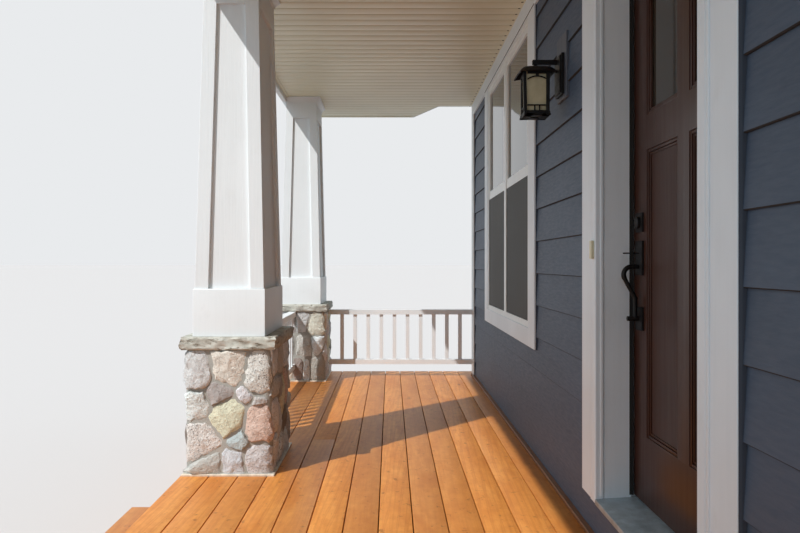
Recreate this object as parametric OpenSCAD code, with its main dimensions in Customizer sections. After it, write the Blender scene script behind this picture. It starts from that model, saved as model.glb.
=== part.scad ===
// Front porch of a timber house: a stained plank floor along the house wall, three stone
// piers with tapered panelled columns, a front railing and two end railings, a ribbed
// ceiling under a lean-to roof, and the house wall with its entrance door, twin window,
// wall lantern and doorbell.
// X runs along the house wall, -Y is the street, +Z is up. The origin lies on the ground
// under the middle of the whole porch.

/* [Floor] */
// Length of the porch floor along the wall
deck_len = 6804; // [6600:1:7800]
// Depth of the porch floor from the wall to its front edge
deck_depth = 1877; // [1700:1:2300]
// Height of the floor above the ground
deck_h = 456; // [400:1:600]
// Thickness of the floor boards
board_t = 25; // [19:1:38]
// Thickness of the joists and rim of the floor frame
joist_t = 38; // [30:1:50]
// Height of the joists
joist_h = 184; // [120:1:235]
// Largest distance between joists
joist_pitch = 406; // [300:1:450]
// Thickness of the skirt and riser boards
skirt_t = 19; // [12:1:25]
// How far the floor boards and treads stand out over the boards below
nosing = 6; // [0:1:30]
// Width of the wood strip at the foot of the wall
strip_w = 40; // [25:1:60]
// Height of that strip
strip_h = 19; // [10:1:40]

/* [Steps] */
// How far each tread shows in front of the one above
tread_run = 240; // [220:1:330]
// Number of treads between the floor and the ground
tread_count = 2; // [1:1:3]
// Thickness of each stringer
stringer_t = 38; // [30:1:50]
// Number of stringers
stringer_count = 4; // [3:1:6]

/* [Piers] */
// Width of a pier along the wall
pier_x = 642; // [615:1:700]
// Depth of a pier away from the wall
pier_y = 470; // [420:1:560]
// Height of the stonework above the floor
pier_h = 636; // [580:1:900]
// Distance from the front face of the piers to the front edge of the floor
pier_set = 7; // [0:1:40]
// Distance from the middle of the floor to the middle pier, towards the far end
mid_pier_off = 193; // [0:1:300]
// Thickness of the pier caps
cap_t = 66; // [45:1:90]
// How far a cap stands out past the stonework
cap_lip = 13; // [5:1:40]
// Width along the wall of the footing under each pier
footing_x = 500; // [460:1:560]
// Depth of each footing
footing_y = 350; // [300:1:400]

/* [Columns] */
// Width along the wall of a column's plinth
plinth_x = 591; // [584:1:610]
// Depth of a plinth
plinth_y = 367; // [360:1:400]
// Height of a plinth
plinth_h = 243; // [150:1:300]
// Slope cut round the top of a plinth
plinth_bevel = 4; // [2:1:5]
// Width along the wall of a shaft at its foot
shaft_x_low = 572; // [520:1:578]
// Width along the wall of a shaft at its top
shaft_x_top = 487; // [420:1:500]
// Depth of a shaft at its foot
shaft_y_low = 353; // [300:1:354]
// Depth of a shaft at its top
shaft_y_top = 280; // [240:1:290]
// Depth of the recessed panels
panel_deep = 18; // [8:1:22]
// Width of the flat border beside each panel
stile_w = 70; // [50:1:90]
// Height of the flat border above each panel
panel_rail = 136; // [60:1:220]
// Height of a capital
capital_h = 54; // [40:1:120]
// How far a capital stands out at the ceiling
capital_flare = 34; // [20:1:60]

/* [Railings] */
// Distance from the underside of the pier caps down to the top of the railings
rail_drop = 1; // [1:1:80]
// Height of a top rail
rail_top_t = 45; // [30:1:60]
// Width of a top rail
rail_w = 64; // [50:1:90]
// Height of the gap under a bottom rail
rail_gap = 118; // [60:1:160]
// Height of a bottom rail
rail_low_t = 45; // [30:1:50]
// Width of a bottom rail
rail_low_w = 50; // [40:1:60]
// Width of the square balusters
baluster_w = 34; // [25:1:40]
// Largest distance from baluster to baluster
baluster_pitch = 130; // [100:1:140]
// How far the front railing stands in front of the middle of the piers
rail_shift = 70; // [0:1:90]

/* [Ceiling and roof] */
// Height of the strip of siding between the door's head casing and the frieze board
over_door = 70; // [20:1:400]
// Thickness of the ceiling panels
ceiling_t = 12; // [8:1:20]
// How far the roof stands out past the ends of the floor
end_over = 349; // [250:1:500]
// Distance from the wall at which the roof ends are cut back
corner_out = 347; // [300:1:600]
// Length of the slanting cut, measured away from the wall
corner_run = 225; // [100:1:300]
// How far the roof stands out past the end of the wall behind that cut
corner_over = 73; // [40:1:100]
// Distance from the middle of the columns to the back of the front fascia board
eave_shift = 134; // [110:1:160]
// Thickness of the front fascia board
front_t = 38; // [30:1:45]
// How far the front fascia board hangs below the ceiling
fascia_drop = 45; // [30:1:52]
// Thickness of the boards at the roof's ends
fascia_t = 19; // [15:1:25]
// Height of the roof's edge above the ceiling
eave_h = 150; // [120:1:200]
// Rise of the roof for each unit away from its edge
roof_slope = 0.333; // [0.25:0.001:0.36]
// Thickness of the roof boards
sheath_t = 20; // [16:1:25]
// Thickness of the shingles
shingle_t = 12; // [8:1:20]
// How far the shingles stand out past the boards under them
drip = 15; // [10:1:25]

/* [House wall] */
// Distance from each end of the floor to the end of the wall
wall_inset = 238; // [200:1:300]
// Thickness of the house wall
wall_t = 160; // [130:1:240]
// Height of the wall above the edge where the roof meets it
wall_over = 110; // [40:1:400]
// Height of the foundation
found_h = 420; // [300:1:440]
// Thickness of all flat trim boards
trim_t = 30; // [26:1:36]
// Width of the corner boards
corner_w = 124; // [90:1:160]
// Height of the frieze board
frieze_h = 108; // [80:1:150]

/* [Window] */
// Distance from the middle of the floor to the middle of the window, towards the far end
win_off = 1210; // [1160:1:1300]
// Width of the window opening
win_w = 1704; // [1450:1:1750]
// Height of the bottom of the window opening above the floor
win_low = 705; // [500:1:900]
// Width of the side casings
win_case_w = 171; // [80:1:180]
// Height of the bottom casing
apron_h = 105; // [80:1:200]
// Face width of the window frames
frame_w = 36; // [20:1:45]
// Depth of the window frames
frame_d = 90; // [85:1:110]
// How far the window frames stand out from the wall
frame_out_d = 25; // [18:1:26]
// Height of the middle of the meeting rails above the floor
meet_mid = 1616; // [1450:1:1750]
// Height of the outer meeting rail
meet_h = 64; // [50:1:80]
// Face width of the sashes
sash_w = 36; // [20:1:40]
// Depth of each sash
sash_d = 30; // [25:1:34]
// Thickness of each pane
pane_t = 5; // [4:1:8]
// Thickness of the insect screens
screen_t = 8; // [6:1:10]

/* [Door] */
// Distance from the middle of the floor to the middle of the door, towards the near end
door_off = 1452; // [1350:1:1500]
// Width of the door leaf
door_w = 914; // [800:1:960]
// Height of the door leaf
door_h = 2032; // [1980:1:2060]
// Thickness of the door leaf
door_t = 44; // [38:1:50]
// Gap all round the door leaf
door_gap = 7; // [7:0.5:9]
// Height of the threshold above the floor
sill_up = 184; // [140:1:200]
// How far the threshold falls towards its front edge
sill_fall = 9; // [0:1:12]
// Thickness of the threshold
sill_t = 30; // [24:1:40]
// How far the threshold stands out from the wall
sill_nose = 36; // [30:1:60]
// Thickness of the side and head jambs
jamb_t = 30; // [24:1:40]
// Gap between the stops and the closed leaf, where a foam seal lies
seal_room = 12; // [7:1:16]
// How far the stops stand in from the jambs
stop_w = 12; // [10:1:20]
// Width of the flat door casings
case_w = 153; // [100:1:170]
// Width of the brickmould
mould_w = 51; // [40:1:60]
// How far the brickmould stands out from the wall
mould_d = 35; // [34:1:50]
// Width of the borders of the door leaf
door_stile = 133; // [110:1:150]
// Width of the middle border
door_mid = 92; // [80:1:130]
// Height of the bottom border
door_low_rail = 250; // [200:1:300]
// Height above the bottom of the leaf at which its low panels end
panel_top = 1295; // [1250:1:1340]
// Height above the bottom of the leaf at which its lights start
light_low = 1423; // [1380:1:1500]
// Height of the top border
door_top_rail = 130; // [100:1:160]
// Depth of the door's recessed panels
panel_set = 12; // [6:1:14]

/* [Door hardware] */
// Height of the thumb latch above the bottom of the leaf
latch_up = 902; // [850:1:1000]
// Height of the deadbolt above the thumb latch
bolt_up = 132; // [120:1:180]
// Height of the plate at the foot of the grip
foot_h = 86; // [70:1:96]
// Drop from the thumb latch to the knee of the grip
grip_knee = 150; // [130:1:180]
// How far the horn at the foot of the grip stands out
horn_out = 50; // [36:1:60]
// Drop from the thumb latch to the foot of the grip
grip_drop = 225; // [200:1:260]
// Distance from the leaf's edge to the middle of the hardware
backset = 70; // [60:1:75]
// Width of the hardware's plates
plate_w = 70; // [50:1:76]
// Height of the latch plate
plate_h = 127; // [110:1:140]
// Height of the deadbolt plate
bolt_h = 71; // [56:1:76]
// Thickness of those plates
plate_t = 8; // [5:1:10]
// How far the grip stands off the door
grip_out = 63; // [52:1:70]
// Radius of the grip bar
grip_r = 8; // [7:0.5:10]
// Radius of the bend at the top of the grip
grip_bend = 30; // [20:1:34]
// Width of the thumb piece
thumb_w = 18; // [14:1:24]
// Thickness of the thumb piece
thumb_t = 5; // [3:0.5:6]
// How far the thumb piece stands out from its plate
thumb_out = 55; // [30:1:58]
// How far the deadbolt's lock cylinder stands out from its plate
cylinder_out = 10; // [5:1:14]
// Radius of the knob inside
knob_r = 27; // [22:1:30]
// Radius of the knob's neck
neck_r = 10; // [8:1:14]
// Length of the knob's neck
neck_l = 30; // [25:1:40]
// Length of the thumb turn inside
turn_l = 32; // [26:1:40]
// Thickness of the thumb turn
turn_t = 10; // [6:1:12]
// How far the thumb turn stands off the leaf
turn_out = 24; // [18:1:30]
// Radius of the hinge barrels
hinge_r = 6; // [5:0.5:7]
// Height of each hinge
hinge_h = 102; // [80:1:110]
// Width of each hinge leaf
hinge_w = 33; // [28:1:36]

/* [Lantern and doorbell] */
// Distance from the middle of the floor to the middle of the lantern, towards the near end
lamp_off = 425; // [380:1:470]
// Height above the floor of the bottom of the lantern's block
block_low = 1826; // [1700:1:1850]
// Height of that block
block_h = 297; // [280:1:340]
// Width of that block
block_w = 182; // [150:1:200]
// Thickness of that block
block_t = 26; // [20:1:40]
// Height of the lantern's wall plate
lamp_plate_h = 186; // [150:1:220]
// Width of the lantern's wall plate
lamp_plate_w = 118; // [80:1:130]
// Thickness of the lantern's wall plate
lamp_plate_t = 20; // [12:1:24]
// Thickness of the arm that carries the lantern
lamp_arm_t = 20; // [12:1:24]
// Length of the neck between the arm and the lantern's roof
lamp_neck = 7; // [4:1:12]
// Distance from the wall to the middle of the lantern
lamp_out = 148; // [145:1:200]
// Height above the floor of the bottom of the lantern
lamp_low = 1747; // [1735:1:1760]
// Width of the lantern's body at its foot
lamp_w = 110; // [100:1:130]
// Width of the lantern's body at its top
lamp_top_w = 118; // [110:1:130]
// Height of the lantern's body
lamp_h = 207; // [180:1:230]
// Width of the lantern's roof
lamp_roof_w = 168; // [150:1:180]
// Height of the lantern's roof
lamp_roof_h = 30; // [24:1:45]
// Thickness of the lantern's bars
lamp_bar = 10; // [7:1:14]
// Thickness of the lantern's glass
lamp_pane = 3; // [2:0.5:4]
// Height of the doorbell's middle above the floor
bell_up = 1126; // [1000:1:1250]
// Height of the doorbell
bell_h = 70; // [50:1:90]
// Width of the doorbell
bell_w = 30; // [24:1:40]
// Thickness of the doorbell
bell_t = 12; // [8:1:20]

/* [Hidden] */
$fn = 32;
eps = 1;                              // cuts run this far past the faces they open
joint = 0.5;                          // open joint between boards of one frame
slack = 0.3;                          // fit of panes, sashes, knuckles and roof boards

// places along the wall
half_len = deck_len / 2;
pier_xs = [-(half_len - pier_x / 2), -mid_pier_off, half_len - pier_x / 2];
wall_half = half_len - wall_inset;
roof_half = half_len + end_over;
corner_half = wall_half + corner_over;
end_rail_x = min(half_len - pier_x / 2, wall_half - rail_w / 2);
skirt_half = half_len - nosing;
frame_half = skirt_half - skirt_t;
steps_x0 = pier_xs[1] + pier_x / 2;
steps_x1 = pier_xs[2] - pier_x / 2;
win_x = -win_off;
door_x = door_off;
lamp_x = lamp_off;

// distances from the wall's outer face towards the street
skirt_out = deck_depth - nosing;
frame_out = skirt_out - skirt_t;
pier_out = deck_depth - pier_set - pier_y / 2;
eave_out = pier_out + eave_shift;
eave_front = eave_out + front_t;
front_rail_out = pier_out + rail_shift;

// the wall's outer face lies at yw, and out(p) is the place p in front of it
steps_reach = skirt_out + tread_count * tread_run + nosing;
front_reach = max(steps_reach, eave_front + drip);
knob_reach = neck_l + knob_r * 1.5;
yw = (front_reach - wall_t - knob_reach) / 2;
function out(p) = yw - p;

// levels
floor_z = deck_h;
deck_low = deck_h - board_t;
frame_low = deck_low - joist_h;
rise = deck_h / (tread_count + 1);
cap_z = floor_z + pier_h;
plinth_z = cap_z + cap_t;
shaft_z = plinth_z + plinth_h;
sill_z = floor_z + sill_up;
sill_low = sill_z - sill_t;
leaf_z = sill_z + door_gap;
leaf_top = leaf_z + door_h;
hole_top = leaf_top + door_gap;       // to the head jamb
clear_top = hole_top - stop_w;        // to the stops
rough_top = hole_top + jamb_t;        // hole in the house wall
frieze_z = clear_top + mould_w + case_w + over_door;
ceil_z = frieze_z + frieze_h;
fascia_z = ceil_z - fascia_drop;
capital_z = ceil_z - capital_h;
eave_z = ceil_z + eave_h;
function roof_z(p) = eave_z + roof_slope * (eave_out - p);
tilt_scale = sqrt(1 + roof_slope * roof_slope);
wall_top = roof_z(0) + (sheath_t + shingle_t) * tilt_scale + wall_over;

// window and door
win_z0 = floor_z + win_low;
unit_w = win_w / 2;
meet_z = floor_z + meet_mid;
hole_half = door_w / 2 + door_gap;
clear_half = hole_half - stop_w;
rough_half = hole_half + jamb_t;
leaf_y = yw + wall_t - door_t;        // outer face of the leaf
leaf_back = yw + wall_t;
leaf_x0 = door_x - door_w / 2;
leaf_x1 = door_x + door_w / 2;
hinge_x = leaf_x1 + door_gap / 2;
hinge_y = leaf_back + hinge_r + 2;

module box(x0, x1, y0, y1, z0, z1) {
  translate([x0, y0, z0])
    cube([x1 - x0, y1 - y0, z1 - z0]);
}

// a board on the wall, from p0 to p1 in front of it
module board(x0, x1, p0, p1, z0, z1) {
  box(x0, x1, out(p1), out(p0), z0, z1);
}

// a prism of the outline pts, given as [y, z], from x0 to x1
module along_x(x0, x1, pts) {
  translate([x0, 0, 0])
    rotate([90, 0, 90])
      linear_extrude(x1 - x0)
        polygon(pts);
}

// a prism of the outline pts, given as [x, z], from y0 to y1
module along_y(y0, y1, pts) {
  translate([0, y1, 0])
    rotate([90, 0, 0])
      linear_extrude(y1 - y0)
        polygon(pts);
}

// a square solid whose half widths change with height: rows are [z, half x, half y]
module stack(rows) {
  n = len(rows);
  reach = 2000;
  intersection() {
    along_y(-reach, reach, concat([for (r = rows) [r[1], r[0]]],
                                  [for (i = [n - 1:-1:0]) [-rows[i][1], rows[i][0]]]));
    along_x(-reach, reach, concat([for (r = rows) [r[2], r[0]]],
                                  [for (i = [n - 1:-1:0]) [-rows[i][2], rows[i][0]]]));
  }
}

// both ends of the porch: the child and its mirror image
module both_ends() {
  children();
  mirror([1, 0, 0])
    children();
}

// Floor

module deck_floor() {
  color("peru")
    board(-half_len, half_len, 0, deck_depth, deck_low, floor_z);
}

module deck_frame() {
  n = ceil((2 * frame_half - joist_t) / joist_pitch);
  step = (2 * frame_half - joist_t) / n;
  color("burlywood")
    union() {
      board(-frame_half, frame_half, frame_out - joist_t, frame_out, frame_low, deck_low);
      board(-frame_half, frame_half, 0, joist_t, frame_low, deck_low);
      for (i = [0:n])
        translate([-frame_half + i * step, 0, 0])
          board(0, joist_t, 0, frame_out, frame_low, deck_low);
    }
}

// the boards round the floor, open at the steps, with a return behind each end
module deck_skirt() {
  color("peru")
    union() {
      board(-skirt_half, steps_x0, frame_out, skirt_out, 0, deck_low);
      board(steps_x1, skirt_half, frame_out, skirt_out, 0, deck_low);
      both_ends() {
        board(-skirt_half, -frame_half, -skirt_t, skirt_out, 0, deck_low);
        board(-skirt_half, -wall_half, -skirt_t, 0, 0, deck_low);
      }
    }
}

module wall_strip() {
  color("sienna")
    board(-wall_half, wall_half, 0, strip_w, floor_z, floor_z + strip_h);
}

module pier_footings() {
  color("darkgray")
    for (x = pier_xs)
      translate([max(-frame_half + footing_x / 2, min(x, frame_half - footing_x / 2)), 0, 0])
        board(-footing_x / 2, footing_x / 2, pier_out - footing_y / 2,
              min(pier_out + footing_y / 2, frame_out), 0, frame_low);
}

// Steps: riser k stands under the floor or under tread k

function tread_z(k) = floor_z - k * rise - board_t;       // underside of tread k
function riser_out(k) = skirt_out + k * tread_run;        // front of riser k

module step_treads() {
  color("peru")
    for (k = [1:tread_count])
      board(steps_x0, steps_x1, riser_out(k - 1), riser_out(k) + nosing,
            tread_z(k), tread_z(k) + board_t);
}

module step_risers() {
  color("peru")
    for (k = [0:tread_count])
      board(steps_x0, steps_x1, riser_out(k) - skirt_t, riser_out(k),
            k == tread_count ? 0 : tread_z(k + 1), tread_z(k));
}

module step_stringers() {
  pitch = (steps_x1 - steps_x0 - stringer_t) / (stringer_count - 1);
  pts = concat(
    [[out(frame_out), 0], [out(frame_out), tread_z(1)]],
    [for (k = [1:tread_count]) each [
      [out(riser_out(k) - skirt_t), tread_z(k)],
      [out(riser_out(k) - skirt_t), k == tread_count ? 0 : tread_z(k + 1)]]]);
  color("burlywood")
    for (i = [0:stringer_count - 1])
      along_x(steps_x0 + i * pitch, steps_x0 + i * pitch + stringer_t, pts);
}

// Piers and columns

module at_piers() {
  for (x = pier_xs)
    translate([x, out(pier_out), 0])
      children();
}

module stone_piers() {
  color("lightgray")
    at_piers()
      translate([-pier_x / 2, -pier_y / 2, floor_z])
        cube([pier_x, pier_y, pier_h]);
}

module pier_caps() {
  size_x = pier_x + 2 * cap_lip;
  size_y = pier_y + 2 * cap_lip;
  color("gainsboro")
    at_piers()
      translate([-size_x / 2, -size_y / 2, cap_z])
        cube([size_x, size_y, cap_t]);
}

module column_plinths() {
  color("white")
    at_piers()
      stack([[plinth_z, plinth_x / 2, plinth_y / 2],
             [shaft_z - plinth_bevel, plinth_x / 2, plinth_y / 2],
             [shaft_z, plinth_x / 2 - plinth_bevel, plinth_y / 2 - plinth_bevel]]);
}

// the tapered shaft, and the four shallow panels cut into its faces
module column_shafts() {
  x0 = shaft_x_low / 2;
  x1 = shaft_x_top / 2;
  y0 = shaft_y_low / 2;
  y1 = shaft_y_top / 2;
  top = capital_z - panel_rail;
  share = (top - shaft_z) / (capital_z - shaft_z);
  xt = x0 + (x1 - x0) * share;
  yt = y0 + (y1 - y0) * share;
  color("white")
    at_piers()
      difference() {
        stack([[shaft_z, x0, y0], [capital_z, x1, y1]]);
        // panels in the faces towards the wall and the street
        difference() {
          along_y(-y0 - eps, y0 + eps,
                  [[-x0 + stile_w, shaft_z - eps], [x0 - stile_w, shaft_z - eps],
                   [xt - stile_w, top], [-xt + stile_w, top]]);
          along_x(-x0, x0,
                  [[-y0 + panel_deep, shaft_z - 2 * eps], [y0 - panel_deep, shaft_z - 2 * eps],
                   [y1 - panel_deep, capital_z], [-y1 + panel_deep, capital_z]]);
        }
        // panels in the faces along the porch
        difference() {
          along_x(-x0 - eps, x0 + eps,
                  [[-y0 + stile_w, shaft_z - eps], [y0 - stile_w, shaft_z - eps],
                   [yt - stile_w, top], [-yt + stile_w, top]]);
          along_y(-y0, y0,
                  [[-x0 + panel_deep, shaft_z - 2 * eps], [x0 - panel_deep, shaft_z - 2 * eps],
                   [x1 - panel_deep, capital_z], [-x1 + panel_deep, capital_z]]);
        }
      }
}

module column_capitals() {
  x1 = shaft_x_top / 2;
  y1 = shaft_y_top / 2;
  // the crown spreads in a soft S, given as [share of height, share of flare]
  curve = [[0, 0.1], [0.12, 0.1], [0.3, 0.2], [0.5, 0.42], [0.68, 0.72], [0.8, 0.86],
           [0.81, 1], [1, 1]];
  color("white")
    at_piers()
      intersection() {
        stack([for (c = curve) [capital_z + c[0] * capital_h, x1 + c[1] * capital_flare,
                                y1 + c[1] * capital_flare]]);
        // the crown stops behind the fascia board
        union() {
          translate([-pier_x, -eave_shift, 0])
            cube([2 * pier_x, pier_y + eave_shift, ceil_z + eps]);
          translate([-pier_x, -pier_y, 0])
            cube([2 * pier_x, 2 * pier_y, fascia_z]);
        }
      }
}

// Railings: rails from 0 to run along X, balusters between them

module railing(run) {
  n = ceil(run / baluster_pitch);
  pitch = run / n;
  top = cap_z - rail_drop;
  low = floor_z + rail_gap;
  union() {
    translate([0, -rail_w / 2, top - rail_top_t])
      cube([run, rail_w, rail_top_t]);
    translate([0, -rail_low_w / 2, low])
      cube([run, rail_low_w, rail_low_t]);
    for (i = [1:n - 1])
      translate([i * pitch - baluster_w / 2, -baluster_w / 2, low])
        cube([baluster_w, baluster_w, top - low - rail_top_t / 2]);
  }
}

module front_railing() {
  x0 = pier_xs[0] + pier_x / 2;
  x1 = pier_xs[1] - pier_x / 2;
  color("white")
    translate([x0, out(front_rail_out), 0])
      railing(x1 - x0);
}

module end_railing(x) {
  p0 = trim_t;
  p1 = pier_out - pier_y / 2;
  color("white")
    translate([x, out(p0), 0])
      rotate([0, 0, -90])
        railing(p1 - p0);
}

module far_railing() {
  end_railing(-end_rail_x);
}

module near_railing() {
  end_railing(end_rail_x);
}

// Ceiling and roof

// the roof's outline from above, with its ends moved out by d and its front at p
function roof_plan(p, d) = [
  [-roof_half - d, out(p)], [-roof_half - d, out(corner_out + corner_run)],
  [-corner_half - d, out(corner_out)], [-corner_half - d, yw],
  [corner_half + d, yw], [corner_half + d, out(corner_out)],
  [roof_half + d, out(corner_out + corner_run)], [roof_half + d, out(p)]];

module porch_ceiling() {
  color("tan")
    translate([0, 0, ceil_z])
      linear_extrude(ceiling_t)
        polygon(roof_plan(eave_out, -fascia_t));
}

module front_fascia() {
  color("white")
    along_x(-roof_half, roof_half,
            [[out(eave_out), fascia_z], [out(eave_front), fascia_z],
             [out(eave_front), roof_z(eave_front) - slack],
             [out(eave_out), roof_z(eave_out) - slack]]);
}

// the boards that close the roof's ends follow its outline, with a return behind
module roof_ends() {
  color("white")
    both_ends()
      union() {
        intersection() {
          translate([0, 0, ceil_z])
            linear_extrude(roof_z(0) - ceil_z + eps)
              polygon([
                [-roof_half, out(eave_out)], [-roof_half, out(corner_out + corner_run)],
                [-corner_half, out(corner_out)], [-corner_half, yw],
                [-corner_half + fascia_t, yw], [-corner_half + fascia_t, out(corner_out)],
                [-roof_half + fascia_t, out(corner_out + corner_run)],
                [-roof_half + fascia_t, out(eave_out)]]);
          along_x(-roof_half - eps, 0,
                  [[out(eave_out), ceil_z], [yw + eps, ceil_z],
                   [yw + eps, roof_z(-eps) - slack],
                   [out(eave_out), roof_z(eave_out) - slack]]);
        }
        along_x(-corner_half, -wall_half,
                [[yw, ceil_z], [yw + fascia_t, ceil_z],
                 [yw + fascia_t, roof_z(0) - slack], [yw, roof_z(0) - slack]]);
      }
}

// a slab on the roof's slope: its underside is lift above the rafters' top
module slope_slab(p, d, lift, t) {
  z0 = lift * tilt_scale;
  z1 = (lift + t) * tilt_scale;
  intersection() {
    translate([0, 0, ceil_z])
      linear_extrude(roof_z(0) - ceil_z + 1000)
        polygon(roof_plan(p, d));
    along_x(-roof_half - 1000, roof_half + 1000,
            [[out(p), roof_z(p) + z0], [yw, roof_z(0) + z0],
             [yw, roof_z(0) + z1], [out(p), roof_z(p) + z1]]);
  }
}

module roof_boards() {
  color("burlywood")
    slope_slab(eave_front, 0, 0, sheath_t);
}

module shingles() {
  color("rosybrown")
    slope_slab(eave_front + drip, drip, sheath_t + slack, shingle_t - slack);
}

// House wall

module foundation() {
  color("darkgray")
    board(-wall_half, wall_half, -wall_t, 0, 0, found_h);
}

// the parts of the wall that run from the foundation to the top
module house_wall() {
  color("slategray")
    union() {
      board(-wall_half, win_x - win_w / 2, -wall_t, 0, found_h, wall_top);
      board(win_x + win_w / 2, door_x - rough_half, -wall_t, 0, found_h, wall_top);
      board(door_x + rough_half, wall_half, -wall_t, 0, found_h, wall_top);
    }
}

module wall_at_window() {
  x0 = win_x - win_w / 2;
  x1 = win_x + win_w / 2;
  color("slategray")
    union() {
      board(x0, x1, -wall_t, 0, found_h, win_z0);
      board(x0, x1, -wall_t, 0, frieze_z, wall_top);
    }
}

module wall_at_door() {
  x0 = door_x - rough_half;
  x1 = door_x + rough_half;
  color("slategray")
    union() {
      board(x0, x1, -wall_t, 0, found_h, sill_low);
      board(x0, x1, -wall_t, 0, rough_top, wall_top);
    }
}

module corner_boards() {
  color("white")
    both_ends()
      union() {
        board(-wall_half, -wall_half + corner_w, 0, trim_t, floor_z + strip_h, frieze_z);
        board(-wall_half - trim_t, -wall_half, -corner_w + trim_t, trim_t,
              floor_z + strip_h, ceil_z);
      }
}

module frieze_board() {
  color("white")
    board(-wall_half, wall_half, 0, trim_t, frieze_z, ceil_z);
}

// Window

module window_casings() {
  color("white")
    for (s = [-1, 1])
      translate([win_x + s * (win_w + win_case_w) / 2, 0, 0])
        board(-win_case_w / 2, win_case_w / 2, 0, trim_t, win_z0 - apron_h, frieze_z);
  color("white")
    board(win_x - win_w / 2 + joint, win_x + win_w / 2 - joint, 0, trim_t,
          win_z0 - apron_h, win_z0);
}

// a picture frame between the given faces, with borders side, low and high
module border(x0, x1, p0, p1, z0, z1, side, low, high) {
  difference() {
    board(x0, x1, p0, p1, z0, z1);
    board(x0 + side, x1 - side, p0 - eps, p1 + eps, z0 + low, z1 - high);
  }
}

// x range of window unit i, with its sides moved in by d
function unit_x0(i, d) = win_x + (i - 1) * unit_w + i * joint + d;
function unit_x1(i, d) = win_x + i * unit_w - d;

module window_frames() {
  color("white")
    for (i = [0, 1])
      border(unit_x0(i, 0), unit_x1(i, 0), frame_out_d - frame_d, frame_out_d,
             win_z0, frieze_z, frame_w, frame_w, frame_w);
}

// rows of sashes: [bottom, top, front, bottom border, top border]
low_front = frame_out_d - 5 - sash_d - 4;
high_front = frame_out_d - 5;
sash_rows = [
  [win_z0 + frame_w, meet_z + meet_h / 2 - sash_w / 2, low_front, sash_w, sash_w],
  [meet_z - meet_h / 2, frieze_z - frame_w, high_front, meet_h, sash_w]];

module window_sashes() {
  color("white")
    for (i = [0, 1])
      for (r = sash_rows)
        border(unit_x0(i, frame_w + slack), unit_x1(i, frame_w + slack),
               r[2] - sash_d, r[2], r[0] + slack, r[1] - slack, sash_w, r[3], r[4]);
}

module window_glass() {
  side = frame_w + sash_w + 2 * slack;
  color("lightsteelblue", 0.5)
    for (i = [0, 1])
      for (r = sash_rows)
        board(unit_x0(i, side), unit_x1(i, side), r[2] - sash_d / 2 - pane_t / 2,
              r[2] - sash_d / 2 + pane_t / 2, r[0] + r[3] + 2 * slack,
              r[1] - r[4] - 2 * slack);
}

module window_screens() {
  side = frame_w + slack;
  color("dimgray")
    for (i = [0, 1])
      board(unit_x0(i, side), unit_x1(i, side), high_front - screen_t, high_front,
            win_z0 + frame_w + slack, meet_z - meet_h / 2);
}

// Door frame

// boards round the door: half is to their inner edge, top is that edge over the door
module door_surround(half, top, w, p0, p1, z0) {
  for (s = [-1, 1])
    translate([door_x + s * (half + w / 2), 0, 0])
      board(-w / 2, w / 2, p0, p1, z0, top - joint);
  board(door_x - half - w, door_x + half + w, p0, p1, top, top + w);
}

module door_casings() {
  color("white")
    door_surround(clear_half + mould_w, clear_top + mould_w, case_w, 0, trim_t,
                  sill_low);
}

module door_brickmould() {
  color("white")
    door_surround(clear_half, clear_top, mould_w, 0, mould_d, sill_low);
}

stop_back = leaf_y - seal_room;

module door_jambs() {
  color("whitesmoke") {
    for (s = [0, 1])
      translate([door_x, 0, 0])
        mirror([s, 0, 0])
          union() {
            box(hole_half, rough_half, yw, yw + wall_t, sill_low, hole_top - joint);
            box(clear_half, hole_half + eps, yw, stop_back, sill_low, hole_top - joint);
          }
    union() {
      box(door_x - rough_half, door_x + rough_half, yw, yw + wall_t, hole_top, rough_top);
      box(door_x - clear_half + joint, door_x + clear_half - joint, yw, stop_back,
          clear_top, hole_top + eps);
    }
  }
}

// the threshold lies between the stops, and behind them between the jambs
module door_threshold() {
  inner = hole_half - joint;
  outer = clear_half - joint;
  color("gray")
    intersection() {
      along_x(door_x - inner, door_x + inner,
              [[out(sill_nose), sill_low], [leaf_back, sill_low], [leaf_back, sill_z],
               [leaf_y, sill_z], [out(sill_nose), sill_z - sill_fall]]);
      union() {
        box(door_x - inner, door_x + inner, stop_back + joint, leaf_back,
            sill_low, sill_z);
        box(door_x - outer, door_x + outer, out(sill_nose), leaf_back, sill_low, sill_z);
      }
    }
}

// Door leaf

light_w = (door_w - 2 * door_stile - door_mid) / 2;

// x of the left side of panel i
function panel_x(i) = leaf_x0 + door_stile + i * (light_w + door_mid);

module door_leaf() {
  color("saddlebrown")
    difference() {
      box(leaf_x0, leaf_x1, leaf_y, leaf_back, leaf_z, leaf_top);
      for (i = [0, 1]) {
        box(panel_x(i), panel_x(i) + light_w, leaf_y - eps, leaf_back + eps,
            leaf_z + light_low, leaf_top - door_top_rail);
        box(panel_x(i), panel_x(i) + light_w, leaf_y - eps, leaf_y + panel_set,
            leaf_z + door_low_rail, leaf_z + panel_top);
        box(panel_x(i), panel_x(i) + light_w, leaf_back - panel_set, leaf_back + eps,
            leaf_z + door_low_rail, leaf_z + panel_top);
      }
    }
}

module door_lights() {
  mid = (leaf_y + leaf_back) / 2;
  color("lightsteelblue", 0.5)
    for (i = [0, 1])
      box(panel_x(i) + slack, panel_x(i) + light_w - slack, mid - pane_t, mid + pane_t,
          leaf_z + light_low + slack, leaf_top - door_top_rail - slack);
}

// Door hardware

module plate(z, h) {
  box(-plate_w / 2, plate_w / 2, -plate_t, 0, z - h / 2, z + h / 2);
}

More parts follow.
